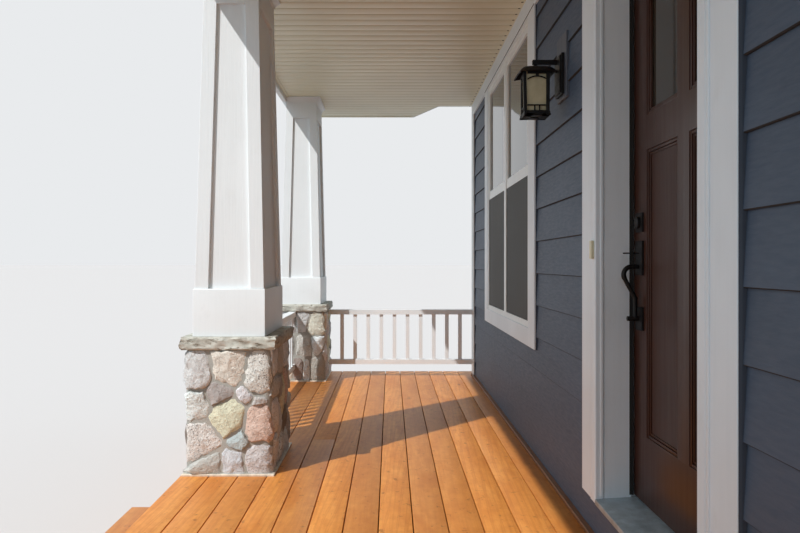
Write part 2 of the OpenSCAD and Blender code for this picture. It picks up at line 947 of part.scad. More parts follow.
// The grip lies in a plane square to the door: it leaves the latch plate, turns down in
// a bend round [bend_x, bend_z], runs straight to its knee and drops to its foot. The
// bend and the knee are 1 mm thicker than the bars, whose ends are buried in them.
module grip(top_z, knee_z, foot_z) {
  bend_x = grip_out - grip_bend;
  bend_z = top_z - grip_bend;
  knee_x = plate_t + 1.5 * grip_r;
  reach = norm([knee_x - bend_x, knee_z - bend_z]);
  aim = atan2(knee_z - bend_z, knee_x - bend_x) + acos(grip_bend / reach);
  rotate([90, 0, -90]) {
    translate([0, top_z, 0])
      rotate([0, 90, 0])
        cylinder(r = grip_r, h = bend_x + 2);
    translate([bend_x, bend_z, 0])
      rotate([0, 0, aim]) {
        rotate_extrude(angle = 90 - aim)
          translate([grip_bend, 0])
            circle(r = grip_r + 1);
        translate([grip_bend, 2, 0])
          rotate([90, 0, 0])
            cylinder(r = grip_r, h = sqrt(reach * reach - grip_bend * grip_bend) + 2);
      }
    translate([knee_x, knee_z, 0])
      sphere(r = grip_r + 1);
    translate([knee_x, knee_z, 0])
      rotate([90, 0, 0])
        cylinder(r = grip_r, h = knee_z - foot_z);
    // foot, with a horn that points away from the door
    translate([0, foot_z, 0])
      rotate([0, 90, 0])
        cylinder(r = grip_r + 1, h = horn_out);
  }
}

module door_lockset() {
  z = leaf_z + latch_up;
  color("black") {
    translate([leaf_x0 + backset, leaf_y, z]) {
      union() {
        plate(0, plate_h);
        plate(-grip_drop, foot_h);
        grip(-plate_h / 4, -grip_knee, -grip_drop);
        // thumb piece
        box(-thumb_w / 2, thumb_w / 2, -plate_t - thumb_out, -plate_t + eps,
            plate_h / 8, plate_h / 8 + thumb_t);
      }
      translate([0, 0, bolt_up])
        union() {
          plate(0, bolt_h);
          rotate([90, 0, 0])
            cylinder(r = bolt_h * 0.32, h = plate_t + cylinder_out);
        }
    }
    // inside: a round knob and a thumb turn
    translate([leaf_x0 + backset, leaf_back, z])
      rotate([-90, 0, 0])
        union() {
          cylinder(r = plate_w / 2, h = plate_t);
          cylinder(r = neck_r, h = neck_l);
          translate([0, 0, neck_l + knob_r / 2])
            sphere(r = knob_r);
        }
    translate([leaf_x0 + backset, leaf_back, z + bolt_up])
      union() {
        rotate([-90, 0, 0])
          cylinder(r = plate_w / 2, h = plate_t);
        box(-turn_t / 2, turn_t / 2, 0, turn_out, -turn_l / 2, turn_l / 2);
      }
  }
}

// Hinges: the leaf carries the middle knuckle, the jamb the outer two

hinge_zs = [leaf_z + 180, leaf_z + door_h / 2, leaf_top - 180];
knuckle_h = hinge_h / 3;

module knuckle(z) {
  translate([hinge_x, hinge_y, z + slack / 2])
    cylinder(r = hinge_r, h = knuckle_h - slack);
}

// side is -1 for the leaf and 1 for the jamb
module hinge_plate(side, zs) {
  near = hinge_r + 1.5;
  plate_y = leaf_back + 3;
  translate([hinge_x, 0, 0]) {
    box(min(side * near, side * (near + hinge_w)), max(side * near, side * (near + hinge_w)),
        leaf_back, plate_y, zs - hinge_h / 2, zs + hinge_h / 2);
    for (k = side < 0 ? [0] : [-1, 1])
      box(min(side * 1.5, side * (near + eps)), max(side * 1.5, side * (near + eps)),
          leaf_back + 0.5, plate_y, zs + k * knuckle_h - knuckle_h / 2 + slack / 2,
          zs + k * knuckle_h + knuckle_h / 2 - slack / 2);
  }
}

module leaf_hinges() {
  color("dimgray")
    for (z = hinge_zs)
      union() {
        hinge_plate(-1, z);
        knuckle(z - knuckle_h / 2);
      }
}

module jamb_hinges() {
  color("dimgray")
    for (z = hinge_zs)
      union() {
        hinge_plate(1, z);
        for (k = [-1, 1])
          knuckle(z + k * knuckle_h - knuckle_h / 2);
      }
}

// Lantern and doorbell

block_z = floor_z + block_low;
lamp_z = floor_z + lamp_low;
lamp_roof_z = lamp_z + lamp_h;
lamp_top_z = lamp_roof_z + lamp_roof_h;

module lantern_block() {
  color("slategray")
    board(lamp_x - block_w / 2, lamp_x + block_w / 2, 0, block_t, block_z, block_z + block_h);
}

module lantern_frame() {
  arm_z = lamp_top_z + lamp_neck;
  plate_top = arm_z + 2 * lamp_arm_t;
  arm_end = lamp_out + lamp_arm_t / 2;
  w0 = lamp_w / 2;
  w1 = lamp_top_w / 2;
  b = lamp_bar;
  color("black")
    union() {
      // wall plate, arm and neck
      board(lamp_x - lamp_plate_w / 2, lamp_x + lamp_plate_w / 2, block_t,
            block_t + lamp_plate_t, plate_top - lamp_plate_h, plate_top);
      board(lamp_x - lamp_arm_t / 2, lamp_x + lamp_arm_t / 2, block_t + lamp_plate_t - eps,
            arm_end, arm_z, arm_z + lamp_arm_t);
      board(lamp_x - lamp_arm_t / 3, lamp_x + lamp_arm_t / 3, lamp_out - lamp_arm_t / 3,
            lamp_out + lamp_arm_t / 3, lamp_top_z - eps, arm_z + eps);
      translate([lamp_x, out(lamp_out), 0]) {
        // roof with a flat top and a low rim
        stack([[lamp_roof_z, lamp_roof_w / 2, lamp_roof_w / 2],
               [lamp_roof_z + 6, lamp_roof_w / 2, lamp_roof_w / 2],
               [lamp_roof_z + lamp_roof_h * 0.5, lamp_roof_w * 0.34, lamp_roof_w * 0.34],
               [lamp_top_z, lamp_roof_w * 0.24, lamp_roof_w * 0.24]]);
        // tapered cage: its outside less the four openings and the inside
        difference() {
          stack([[lamp_z, w0, w0], [lamp_roof_z + eps, w1, w1]]);
          stack([[lamp_z + b, w0 - b, w0 - b], [lamp_roof_z, w1 - b, w1 - b]]);
          along_y(-w1 - eps, w1 + eps,
                  [[-w0 + b, lamp_z + b], [w0 - b, lamp_z + b],
                   [w1 - b, lamp_roof_z - b], [-w1 + b, lamp_roof_z - b]]);
          along_x(-w1 - eps, w1 + eps,
                  [[-w0 + b, lamp_z + b], [w0 - b, lamp_z + b],
                   [w1 - b, lamp_roof_z - b], [-w1 + b, lamp_roof_z - b]]);
        }
      }
    }
}

module lantern_glass() {
  w0 = lamp_w / 2 - lamp_bar - slack;
  w1 = lamp_top_w / 2 - lamp_bar - slack;
  z0 = lamp_z + lamp_bar + slack;
  z1 = lamp_roof_z - slack;
  color("ivory", 0.8)
    translate([lamp_x, out(lamp_out), 0])
      difference() {
        stack([[z0, w0, w0], [z1, w1, w1]]);
        stack([[z0 + lamp_pane, w0 - lamp_pane, w0 - lamp_pane],
               [z1 - lamp_pane, w1 - lamp_pane, w1 - lamp_pane]]);
      }
}

module doorbell() {
  x = door_x - clear_half - mould_w / 2;
  color("ivory")
    board(x - bell_w / 2, x + bell_w / 2, mould_d, mould_d + bell_t,
          floor_z + bell_up - bell_h / 2, floor_z + bell_up + bell_h / 2);
}

deck_floor();
deck_frame();
deck_skirt();
wall_strip();
pier_footings();
step_treads();
step_risers();
step_stringers();
stone_piers();
pier_caps();
column_plinths();
column_shafts();
column_capitals();
front_railing();
far_railing();
near_railing();
porch_ceiling();
front_fascia();
roof_ends();
roof_boards();
shingles();
foundation();
house_wall();
wall_at_window();
wall_at_door();
corner_boards();
frieze_board();
window_casings();
window_frames();
window_sashes();
window_glass();
window_screens();
door_casings();
door_brickmould();
door_jambs();
door_threshold();
door_leaf();
door_lights();
door_lockset();
leaf_hinges();
jamb_hinges();
lantern_block();
lantern_frame();
lantern_glass();
doorbell();
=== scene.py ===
# %% [markdown]
# # A covered front porch
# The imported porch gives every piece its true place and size. This lesson keeps the pieces whose
# shape is already right, rounds their edges and gives them a finish. It builds the fine work on
# top: floor boards, fieldstones, lap siding, ribbed ceiling panels, shingles, mouldings and
# fittings. Everything is in metres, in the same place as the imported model.

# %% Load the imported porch
import math
import random

import bpy
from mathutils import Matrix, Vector, noise


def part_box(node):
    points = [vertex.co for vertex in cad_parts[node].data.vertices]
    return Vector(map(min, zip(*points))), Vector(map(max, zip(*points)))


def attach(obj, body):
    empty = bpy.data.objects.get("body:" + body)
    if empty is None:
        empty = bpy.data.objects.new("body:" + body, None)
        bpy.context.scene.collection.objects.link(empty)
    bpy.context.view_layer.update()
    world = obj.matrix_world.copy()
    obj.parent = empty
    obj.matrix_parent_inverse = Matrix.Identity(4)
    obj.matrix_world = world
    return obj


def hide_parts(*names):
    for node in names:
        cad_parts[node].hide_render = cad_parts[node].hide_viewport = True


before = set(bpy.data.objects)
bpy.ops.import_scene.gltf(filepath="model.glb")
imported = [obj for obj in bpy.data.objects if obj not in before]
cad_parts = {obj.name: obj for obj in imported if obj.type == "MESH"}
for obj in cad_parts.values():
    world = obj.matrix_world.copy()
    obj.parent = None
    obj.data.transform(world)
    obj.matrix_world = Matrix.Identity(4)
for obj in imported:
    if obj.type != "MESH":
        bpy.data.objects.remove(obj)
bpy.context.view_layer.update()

wall_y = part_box("foundation")[0][1]
floor_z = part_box("deck_floor")[1][2]

# %% [markdown]
# ## The camera
# The photograph is a one-point view along the porch: the eye stands 1.07 m over the floor and
# 0.82 m from the wall. A camera that looks straight along the porch keeps the columns upright,
# and a small shift does the rest of the framing. The porch's long lines meet at one place in
# the picture, and the picture's distance from the eye is measured in the picture's own dots.

# %% Set the camera
PICTURE_WIDE, PICTURE_HIGH = 800, 533
PICTURE_AWAY = 715
MEET_X, MEET_Y = 390.5, 263.5
EYE_ALONG, EYE_OUT, EYE_UP = 3.727, 0.815, 1.073
SENSOR = 36


def away(p):
    """the y of a place that lies p metres in front of the house wall"""
    return wall_y - p


eye = bpy.data.cameras.new("porch_view")
eye.sensor_width = SENSOR
eye.sensor_fit = 'HORIZONTAL'
eye.lens = SENSOR * PICTURE_AWAY / PICTURE_WIDE
eye.clip_end = 1000
eye.shift_x = (PICTURE_WIDE / 2 - MEET_X) / PICTURE_WIDE
eye.shift_y = -(PICTURE_HIGH / 2 - MEET_Y) / PICTURE_WIDE
eye_object = bpy.data.objects.new("porch_view", eye)
bpy.context.scene.collection.objects.link(eye_object)
eye_object.location = (EYE_ALONG, away(EYE_OUT), floor_z + EYE_UP)
eye_object.rotation_euler = (math.radians(90), 0, math.radians(90))
bpy.context.scene.camera = eye_object
bpy.context.scene.view_settings.view_transform = 'Standard'
print("camera at", [round(v, 3) for v in eye_object.location])

# %% [markdown]
# ## Light
# One high lamp shines in from the front and the door's end. It throws the eave's slanting
# shadow over the columns and the railing's stripes on the floor. A cool sky fills the shade
# under the roof, and a weak broad lamp from the front lifts the door, the window and their
# white casings, which face the open side. The camera and the mirrors see a plain pale
# background instead of that sky, so the background never lights the porch.

# %% Light the porch
def hue(r, g, b):
    """a colour of 0 to 255 as the eye sees it, turned into light"""
    def one(v):
        v /= 255
        return v / 12.92 if v <= 0.04045 else ((v + 0.055) / 1.055) ** 2.4
    return (one(r), one(g), one(b), 1)


def lamp(name, energy, softness, colour, towards):
    """a lamp as far away as the sun, so that only its direction counts"""
    light = bpy.data.lights.new(name, 'SUN')
    light.energy = energy
    light.angle = softness
    light.color = colour
    lamp_object = bpy.data.objects.new(name, light)
    lamp_object.rotation_euler = Vector(towards).to_track_quat('-Z', 'Y').to_euler()
    bpy.context.scene.collection.objects.link(lamp_object)


lamp("high_lamp", 3.4, 0.011, (1.0, 0.985, 0.965), (-0.66, 0.667, -1))
lamp("front_fill", 0.38, 1.3, (0.78, 0.96, 1.14), (-0.55, 0.80, -0.12))

sky = bpy.data.worlds.new("pale_sky")
bpy.context.scene.world = sky
sky.use_nodes = True
sky_nodes, sky_links = sky.node_tree.nodes, sky.node_tree.links
open_sky = sky_nodes["Background"]
open_sky.inputs["Color"].default_value = (0.70, 0.84, 0.93, 1)
open_sky.inputs["Strength"].default_value = 0.74
seen_sky = sky_nodes.new('ShaderNodeBackground')
seen_sky.inputs["Color"].default_value = hue(233, 235, 237)
path = sky_nodes.new('ShaderNodeLightPath')
seen = path.outputs["Is Camera Ray"]
for ray in ("Is Glossy Ray", "Is Transmission Ray"):
    either = sky_nodes.new('ShaderNodeMath')
    either.operation = 'MAXIMUM'
    sky_links.new(seen, either.inputs[0])
    sky_links.new(path.outputs[ray], either.inputs[1])
    seen = either.outputs[0]
choose = sky_nodes.new('ShaderNodeMixShader')
for socket, source in enumerate((seen, open_sky.outputs[0], seen_sky.outputs[0])):
    sky_links.new(source, choose.inputs[socket])
sky_links.new(choose.outputs[0], sky_nodes["World Output"].inputs["Surface"])

# %% [markdown]
# ## Shaping helpers
# Most of a porch is sawn boards. They could all be added one by one, but a copy is quicker than
# a new primitive, and it keeps every board alike. So each blank is added once, and each copy
# gets its own mesh. An operator acts on all that is selected, so selecting comes first.

# %% Select, add and copy
def only(*objects):
    """select these objects and nothing else"""
    bpy.ops.object.select_all(action='DESELECT')
    for o in objects:
        o.select_set(True)
    bpy.context.view_layer.objects.active = objects[0]


def start(primitive, name, **settings):
    """add one of Blender's primitives while nothing else is selected"""
    bpy.ops.object.select_all(action='DESELECT')
    primitive(**settings)
    bpy.context.object.name = name
    return bpy.context.object


def copy_of(master, name):
    """a copy of a master piece with its own mesh"""
    piece = bpy.data.objects.new(name, master.data.copy())
    bpy.context.scene.collection.objects.link(piece)
    return piece


blank_board = start(bpy.ops.mesh.primitive_cube_add, "blank_board", size=1)
print("blank board", [round(v, 3) for v in blank_board.dimensions])

# %% [markdown]
# A board is the blank cube pulled to its two far corners. It also carries one random number,
# which the timber finish uses later to move and tint the grain, so that no two boards match.
# The draws start from a fixed seed, so the porch comes out the same each time.

# %% Saw a board
random.seed(7)


def mark(piece, value):
    """write one number on all faces of a board, so that its grain differs from the next"""
    layer = piece.data.attributes.new("board", 'FLOAT', 'FACE')
    layer.data.foreach_set("value", [value] * len(piece.data.polygons))


def board(x0, x1, p0, p1, z0, z1, value=None):
    """a board between two x, two distances from the wall and two heights"""
    piece = copy_of(blank_board, "board")
    low = Vector((x0, away(p1), z0))
    high = Vector((x1, away(p0), z1))
    for v in piece.data.vertices:
        v.co = Vector([a + (b - a) * (c + 0.5) for a, b, c in zip(low, high, v.co)])
    mark(piece, random.random() if value is None else value)
    return piece


print("the wall's face is at y", round(wall_y, 4))

# %% [markdown]
# A sawn edge is never razor sharp, and the small round catches the light. The boards of one
# kind are joined, and one bevel rounds all their edges, as a router would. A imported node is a
# shell of loose triangles, so its points are merged and its flat triangles dissolved first.
# Otherwise the bevel would find edges that nobody can see.

# %% Join boards and round their edges
SHARP, NEARLY_FLAT = 35, 0.5


def join(parts, name):
    """one object from many"""
    only(*parts)
    bpy.ops.object.join()
    parts[0].name = name
    parts[0].data.name = name
    return parts[0]


def smooth(piece, angle=30):
    """shade smoothly over the edges that are flatter than the angle"""
    only(piece)
    bpy.ops.object.shade_smooth_by_angle(angle=math.radians(angle))


def ease(piece, width, segments=1):
    """round the sharp edges"""
    only(piece)
    bevel = piece.modifiers.new("eased_edges", 'BEVEL')
    bevel.width = width
    bevel.segments = segments
    bevel.limit_method = 'ANGLE'
    bevel.angle_limit = math.radians(SHARP)
    bpy.ops.object.modifier_apply(modifier=bevel.name)
    smooth(piece)
    return piece


def eased_copy(node, width, segments=1, name=None):
    """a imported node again, its triangles merged into flat faces and its edges rounded"""
    piece = copy_of(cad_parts[node], name or node + "_eased")
    only(piece)
    bpy.ops.mesh.customdata_custom_splitnormals_clear()
    bpy.ops.object.mode_set(mode='EDIT')
    bpy.ops.mesh.select_all(action='SELECT')
    bpy.ops.mesh.remove_doubles(threshold=0.00002)
    bpy.ops.mesh.dissolve_limited(angle_limit=math.radians(NEARLY_FLAT))
    bpy.ops.object.mode_set(mode='OBJECT')
    mark(piece, 0.5)
    return ease(piece, width, segments)


print("edges sharper than", SHARP, "degrees are rounded")

# %% [markdown]
# A finished piece gets its finish and the body it rides on, and the imported nodes it stands for
# are hidden. Three ways lead there: boards are joined and rounded, a imported node is rounded, or
# a imported node stays as it is and only gets the finish.

# %% Helpers that settle a piece
pieces = []


def settle(piece, finish, slot, *nodes, body="porch"):
    """finish a piece, let it ride on a body, and hide the imported nodes it stands for; slot is
    not used
    """
    piece.data.materials.clear()
    piece.data.materials.append(finish)
    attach(piece, body)
    if nodes:
        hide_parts(*nodes)
    pieces.append(piece)
    print(piece.name, "faces", len(piece.data.polygons))
    return piece


def build(parts, name, width, finish, slot, *nodes, segments=1, body="porch"):
    """join boards into one piece, round its edges and settle it"""
    return settle(ease(join(parts, name), width, segments), finish, slot, *nodes, body=body)


def dress(node, width, finish, slot, segments=1, body="porch"):
    """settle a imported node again, with its edges rounded"""
    return settle(eased_copy(node, width, segments), finish, slot, node, body=body)


def coat(finish, *nodes):
    """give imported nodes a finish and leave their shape"""
    for node in nodes:
        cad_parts[node].data.materials.clear()
        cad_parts[node].data.materials.append(finish)
    print(finish.name, "on", *nodes)


print("pieces so far", len(pieces))

# %% [markdown]
# ## Helpers for finishes
# A finish is a Principled shader with a pattern in front of it. Nodes could be placed and
# linked one by one in the editor. These helpers only save typing: each adds one node to the
# finish that was started last and gives back its output, so that calls can be nested.

# %% Start a finish and add its nodes
def new_finish(name, roughness, metallic=0.0, specular=0.5):
    """start a finish, which all the helpers below then work on"""
    global newest
    newest = bpy.data.materials.new(name)
    newest.use_nodes = True
    sockets = newest.node_tree.nodes["Principled BSDF"].inputs
    sockets["Roughness"].default_value = roughness
    sockets["Metallic"].default_value = metallic
    sockets["Specular IOR Level"].default_value = specular
    return newest


def add(kind, inputs, out=0, **settings):
    """one node: numbers are set on its sockets and outputs are linked to them"""
    node = newest.node_tree.nodes.new(kind)
    for k, v in settings.items():
        setattr(node, k, v)
    for k, v in inputs.items():
        if isinstance(v, bpy.types.NodeSocket):
            newest.node_tree.links.new(v, node.inputs[k])
        else:
            node.inputs[k].default_value = v
    return node.outputs[out]


def to_shader(colour, bump=None, roughness=None):
    """hand what was mixed to the shader of the newest finish"""
    sockets = newest.node_tree.nodes["Principled BSDF"].inputs
    for name, value in (("Base Color", colour), ("Normal", bump), ("Roughness", roughness)):
        if value is not None:
            newest.node_tree.links.new(value, sockets[name])


print("node helpers ready")

# %% [markdown]
# A pattern reads Object coordinates, so it stays on the piece from every side and keeps its
# true scale. Soft noise does for stains, clouds and grain, and scattered cells do for knots,
# air holes and seeds. Both can be stretched along a board.

# %% Helpers for patterns
def written(name, out=2):
    """what is written on the piece under a name: a number, or with out=0 a colour"""
    return add('ShaderNodeAttribute', {}, out=out, attribute_name=name)


def place_on(scale=(1, 1, 1), board_shift=None):
    """Object coordinates, scaled, and moved by each board's own number"""
    spot = add('ShaderNodeTexCoord', {}, out=3)
    if board_shift:
        far = add('ShaderNodeVectorMath', {0: board_shift, 3: written("board")},
                  operation='SCALE')
        spot = add('ShaderNodeVectorMath', {0: spot, 1: far}, operation='ADD')
    return add('ShaderNodeMapping', {"Vector": spot, "Scale": scale})


def cloud(scale, detail, roughness, distortion=0.0, spot=None):
    """soft noise"""
    return add('ShaderNodeTexNoise', {"Vector": spot or place_on(), "Scale": scale,
                                      "Detail": detail, "Roughness": roughness,
                                      "Distortion": distortion})


def cells(scale, spot=None):
    """how far each place is from the nearest of many scattered points"""
    return add('ShaderNodeTexVoronoi', {"Vector": spot or place_on(), "Scale": scale})


print("pattern helpers ready")

# %% [markdown]
# A pattern is only numbers. A colour ramp turns them into tones, a blend lays one colour over
# another where the numbers are high, and a bump node reads the same numbers as height.

# %% Helpers for colours and relief
def tones(value, *stops):
    """a colour ramp from (position, colour) pairs, where a number alone is a grey"""
    out = add('ShaderNodeValToRGB', {0: value})
    ramp = out.node.color_ramp
    while len(ramp.elements) < len(stops):
        ramp.elements.new(0.5)
    for stop, (at, colour) in zip(ramp.elements, stops):
        stop.position = at
        stop.color = colour if isinstance(colour, tuple) else (colour, colour, colour, 1)
    return out


def blend(value, a, b, kind='MIX'):
    """colour a where the value is 0, colour b where it is 1"""
    return add('ShaderNodeMix', {0: value, 6: a, 7: b}, out=2, data_type='RGBA',
               blend_type=kind)


def over(body, colour, pattern, low, high, most):
    """a second colour over the first where a pattern is high"""
    return blend(tones(pattern, (low, 0), (high, most)), body, colour)


def reckon(kind, *values):
    """one sum on numbers and outputs"""
    return add('ShaderNodeMath', dict(enumerate(values)), operation=kind)


def relief(height, depth):
    """small bumps and hollows, of a depth in metres, that only the light sees"""
    return add('ShaderNodeBump', {"Height": height, "Distance": depth, "Strength": 1.0})


def shade_of(colour, gain, lift=0.0):
    """a darker or lighter colour"""
    return tuple(min(v * gain + lift, 1) for v in colour[:3]) + (1,)


print("colour helpers ready")

# %% [markdown]
# ## Stained timber
# The floor is softwood under an orange stain: fine streaks along each board, wide arches where
# the saw crossed the growth rings, soft mottling, small dark knots, and a slightly different
# tone from board to board. Stretching noise along the board gives the streaks, and the board's
# own number moves the pattern so that no two boards match.

# %% Mix the timber finishes
def timber(name, along, light, mid, dark, knot, roughness, figure=0.5):
    """wood whose grain runs along x, y or z"""
    wood = new_finish(name, roughness)

    def stretched(long, short):
        s = [short] * 3
        s["xyz".index(along)] = long
        return place_on(s, (13.7, 7.3, 5.9))

    fine = cloud(1.0, 6, 0.62, spot=stretched(2.6, 95))
    broad = cloud(1.0, 4, 0.6, 0.8, stretched(1.6, 7))
    arches = add('ShaderNodeTexWave', {"Vector": stretched(0.5, 9.0), "Scale": 2.1,
                                       "Distortion": 8.0, "Detail": 2.5,
                                       "Detail Scale": 0.7, "Detail Roughness": 0.4},
                 out=1, wave_type='BANDS', bands_direction='DIAGONAL')
    tone = add('ShaderNodeTexWhiteNoise', {"W": written("board")}, noise_dimensions='1D')
    body = tones(broad, (0.30, mid), (0.70, light))
    line = reckon('MULTIPLY', tones(arches, (0.66, 0), (0.86, figure), (1.0, figure * 0.4)),
                  tones(tone, (0.35, 0.2), (0.65, 1)))
    body = blend(line, body, dark)
    body = over(body, dark, fine, 0.44, 0.80, 0.30)
    body = over(body, dark, cloud(1.0, 4, 0.65, spot=stretched(16, 22)), 0.35, 0.75, 0.36)
    body = over(body, knot, cloud(1.0, 3, 0.55, spot=stretched(26, 30)), 0.63, 0.74, 0.50)
    ring = tones(cells(1.0, stretched(1.7, 5.2)), (0.0, 0.9), (0.032, 0.7), (0.052, 0.28),
                 (0.11, 0))
    body = blend(reckon('MULTIPLY', ring, 0.8), body, knot)
    shade = tones(tone, (0.0, (0.80, 0.77, 0.74, 1)), (1.0, (1.06, 1.06, 1.05, 1)))
    to_shader(blend(1.0, body, shade, 'MULTIPLY'), relief(fine, 0.0004))
    return wood


CEDAR = dict(light=hue(229, 157, 79), mid=hue(205, 127, 51), dark=hue(168, 90, 34),
             knot=hue(84, 40, 16), figure=0.30)
# The strip at the wall gets the same cedar made darker: painted shade, where the eave's shadow
# falls.
CEDAR_DARKENED_AS_SHADE = dict(light=hue(142, 92, 50), mid=hue(122, 74, 38), dark=hue(90, 50, 24),
             knot=hue(50, 28, 14), figure=0.30)
PINE = dict(light=hue(196, 164, 118), mid=hue(176, 140, 94), dark=hue(134, 100, 62),
            knot=hue(92, 62, 36))
cedar_x = timber("stained_cedar_along_x", "x", roughness=0.5, **CEDAR)
cedar_y = timber("stained_cedar_along_y", "y", roughness=0.5, **CEDAR)
strip_wood_with_painted_shade = timber("cedar_strip_with_painted_shade", "x", roughness=0.45, **CEDAR_DARKENED_AS_SHADE)
lumber_x = timber("framing_lumber_along_x", "x", roughness=0.8, **PINE)
lumber_y = timber("framing_lumber_along_y", "y", roughness=0.8, **PINE)
print("timber", [m.name for m in (cedar_x, cedar_y, strip_wood_with_painted_shade, lumber_x, lumber_y)])

# %% [markdown]
# ## White paint, vinyl and siding paint
# The columns and trim are boxed in boards with a sawn face, so the paint keeps a fine grain and
# has faint grey dirt in patches. The siding is pressed with a grain that runs along the wall.
# The grain is mostly relief, with only a hint of darker lines. The trim round the door and the
# window stands in the shade under the roof, so its paint is made whiter and bluer than the
# columns' paint, as painted light. Vinyl and the bell's plastic are the same recipe with hardly
# any grain.

# %% Mix the paints
def painted(name, colour, along, roughness=0.45, depth=0.0004, streak=70, patch=0.04,
            dirt=None, boards=False, long=28, lines=0.07, specular=0.5):
    """paint over a grain that runs along x, y or z"""
    paint = new_finish(name, roughness, specular=specular)
    s = [streak] * 3
    s["xyz".index(along)] = streak / long
    shift = (3.1, 4.7, 2.3) if boards else None
    grain = cloud(1.0, 5, 0.6, spot=place_on(s, shift))
    wide = cloud(1.0, 3, 0.55, spot=place_on((1.7, 1.7, 1.7), shift))
    body = tones(wide, (0.3, shade_of(colour, 1 - 2 * patch)),
                 (0.7, shade_of(colour, 1 + patch)))
    body = over(body, shade_of(colour, 0.55), grain, 0.45, 0.8, lines)
    if dirt:
        spots = cloud(1.0, 7, 0.7, spot=place_on((9, 9, 5)))
        body = over(body, dirt, spots, 0.58, 0.85, 0.3)
    to_shader(body, relief(grain, depth),
              tones(grain, (0.2, roughness - 0.06), (0.8, roughness + 0.14)))
    return paint


# The trim's paint is whiter and bluer than the columns' paint: painted light for trim in the
# shade.
WHITE, TRIM_WHITE_WITH_PAINTED_LIGHT, SIDING = hue(232, 235, 236), hue(234, 241, 247), hue(67, 82, 102)
white_upright = painted("white_paint_upright", WHITE, "z", dirt=hue(194, 195, 192))
white_x = painted("white_paint_along_x", WHITE, "x", dirt=hue(198, 199, 196))
white_y = painted("white_paint_along_y", WHITE, "y", dirt=hue(198, 199, 196))
trim_upright_painted_light = painted("white_trim_upright_painted_light", TRIM_WHITE_WITH_PAINTED_LIGHT, "z", dirt=hue(200, 202, 200))
trim_x_painted_light = painted("white_trim_along_x_painted_light", TRIM_WHITE_WITH_PAINTED_LIGHT, "x", dirt=hue(204, 206, 204))
white_rough = painted("white_paint_on_sawn_boards", WHITE, "z", 0.55, 0.0010, 95, 0.02,
                      dirt=hue(210, 211, 210))
vinyl_white = painted("white_vinyl", hue(236, 241, 242), "z", 0.32, 0.0001, 30, 0.02)
vinyl_cream = painted("cream_vinyl", hue(230, 224, 197), "y", 0.42, 0.00015, 40, 0.03)
ivory = painted("ivory_plastic", hue(222, 214, 182), "z", 0.3, 0.0001, 30, 0.02)
siding_blue = painted("siding_blue", SIDING, "x", 0.55, 0.0007, 110, 0.05, boards=True,
                      long=7, lines=0.14)
print("finishes so far", len(bpy.data.materials))

# %% [markdown]
# ## Glass and metal
# The room behind the panes is dark, so the panes are dark glass that mirrors the porch. The
# lantern and the lockset are black painted metal with a soft sheen, and the sill and the
# flashing are bare metal. Real glass would need a room behind it, and a dark mirror does not.

# %% Mix the glass and the metal
def sheer(name, colour, roughness, depth, scale):
    """smooth dark glass, its surface very slightly wavy"""
    glass = new_finish(name, roughness, specular=0.9)
    wide = cloud(scale, 2, 0.4)
    to_shader(tones(wide, (0.3, shade_of(colour, 0.8)), (0.7, colour)), relief(wide, depth))
    return glass


def cast_metal(name, colour, roughness, metallic=0.0, depth=0.0004, scale=260, specular=0.5):
    """painted or bare metal with a fine pebbled skin, and lighter patches of wear and painted
    sheen
    """
    metal = new_finish(name, roughness, metallic, specular)
    skin = cloud(scale, 3, 0.6)
    worn = cloud(24, 4, 0.6)
    # Lighter patches where the noise is high: wear, and painted sheen.
    to_shader(tones(worn, (0.35, colour), (0.75, shade_of(colour, 1.7, 0.004))),
              relief(skin, depth),
              tones(worn, (0.3, roughness * 0.8), (0.8, min(roughness * 1.3, 1))))
    return metal


pane_dark = sheer("window_pane", hue(58, 56, 50), 0.04, 0.0008, 3.0)
door_pane = sheer("door_pane", hue(62, 56, 48), 0.05, 0.0008, 4.0)
black_metal = cast_metal("black_painted_metal", hue(13, 12, 13), 0.45, specular=0.22)
hinge_metal = cast_metal("dark_hinge_metal", hue(44, 42, 42), 0.35, 0.6)
sill_metal = cast_metal("grey_sill_metal", hue(142, 152, 158), 0.45, 0.35, 0.0002)
foam_black = cast_metal("black_foam_seal", hue(24, 24, 24), 0.9, 0.0, 0.0006, 500)
flashing_metal = cast_metal("pale_flashing", hue(196, 190, 176), 0.5, 0.3, 0.0002)
print("finishes so far", len(bpy.data.materials))

# %% [markdown]
# Two finishes need their own recipe: the insect screen, a fine dark weave, and the lantern's
# glass, which is milky cream with fine seeds in it. Threads modelled one by one would be far
# too many faces, so two sets of narrow waves cross instead.

# %% Mix the screen and the lantern glass
insect_screen = new_finish("insect_screen", 0.6, specular=0.3)
weave = reckon('MAXIMUM', *[
    add('ShaderNodeTexWave', {"Vector": place_on(), "Scale": 210.0, "Distortion": 0.0}, out=1,
        wave_type='BANDS', bands_direction=direction) for direction in ('X', 'Z')])
screen_tone = tones(cloud(1.4, 3, 0.5), (0.3, hue(58, 58, 57)), (0.75, hue(78, 78, 76)))
to_shader(blend(tones(weave, (0.35, 1), (0.75, 0)), screen_tone, hue(32, 32, 33)),
          relief(weave, 0.0003))

lantern_cream = new_finish("seeded_cream_glass", 0.22)
milk = tones(cloud(16, 3, 0.5), (0.3, hue(178, 168, 134)), (0.7, hue(206, 197, 164)))
to_shader(milk, relief(tones(cells(190.0), (0.0, 0), (0.3, 1)), 0.0005))
print("screen and lantern glass ready")

# %% [markdown]
# ## Floor
# Thirteen boards, 140 mm wide with 4 mm gaps, run the length of the porch. Each board is longer
# than a plank, so most rows have one butt joint over a joist, and the row beside the middle pier
# shows its joint. The boards are 25 mm thick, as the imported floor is.

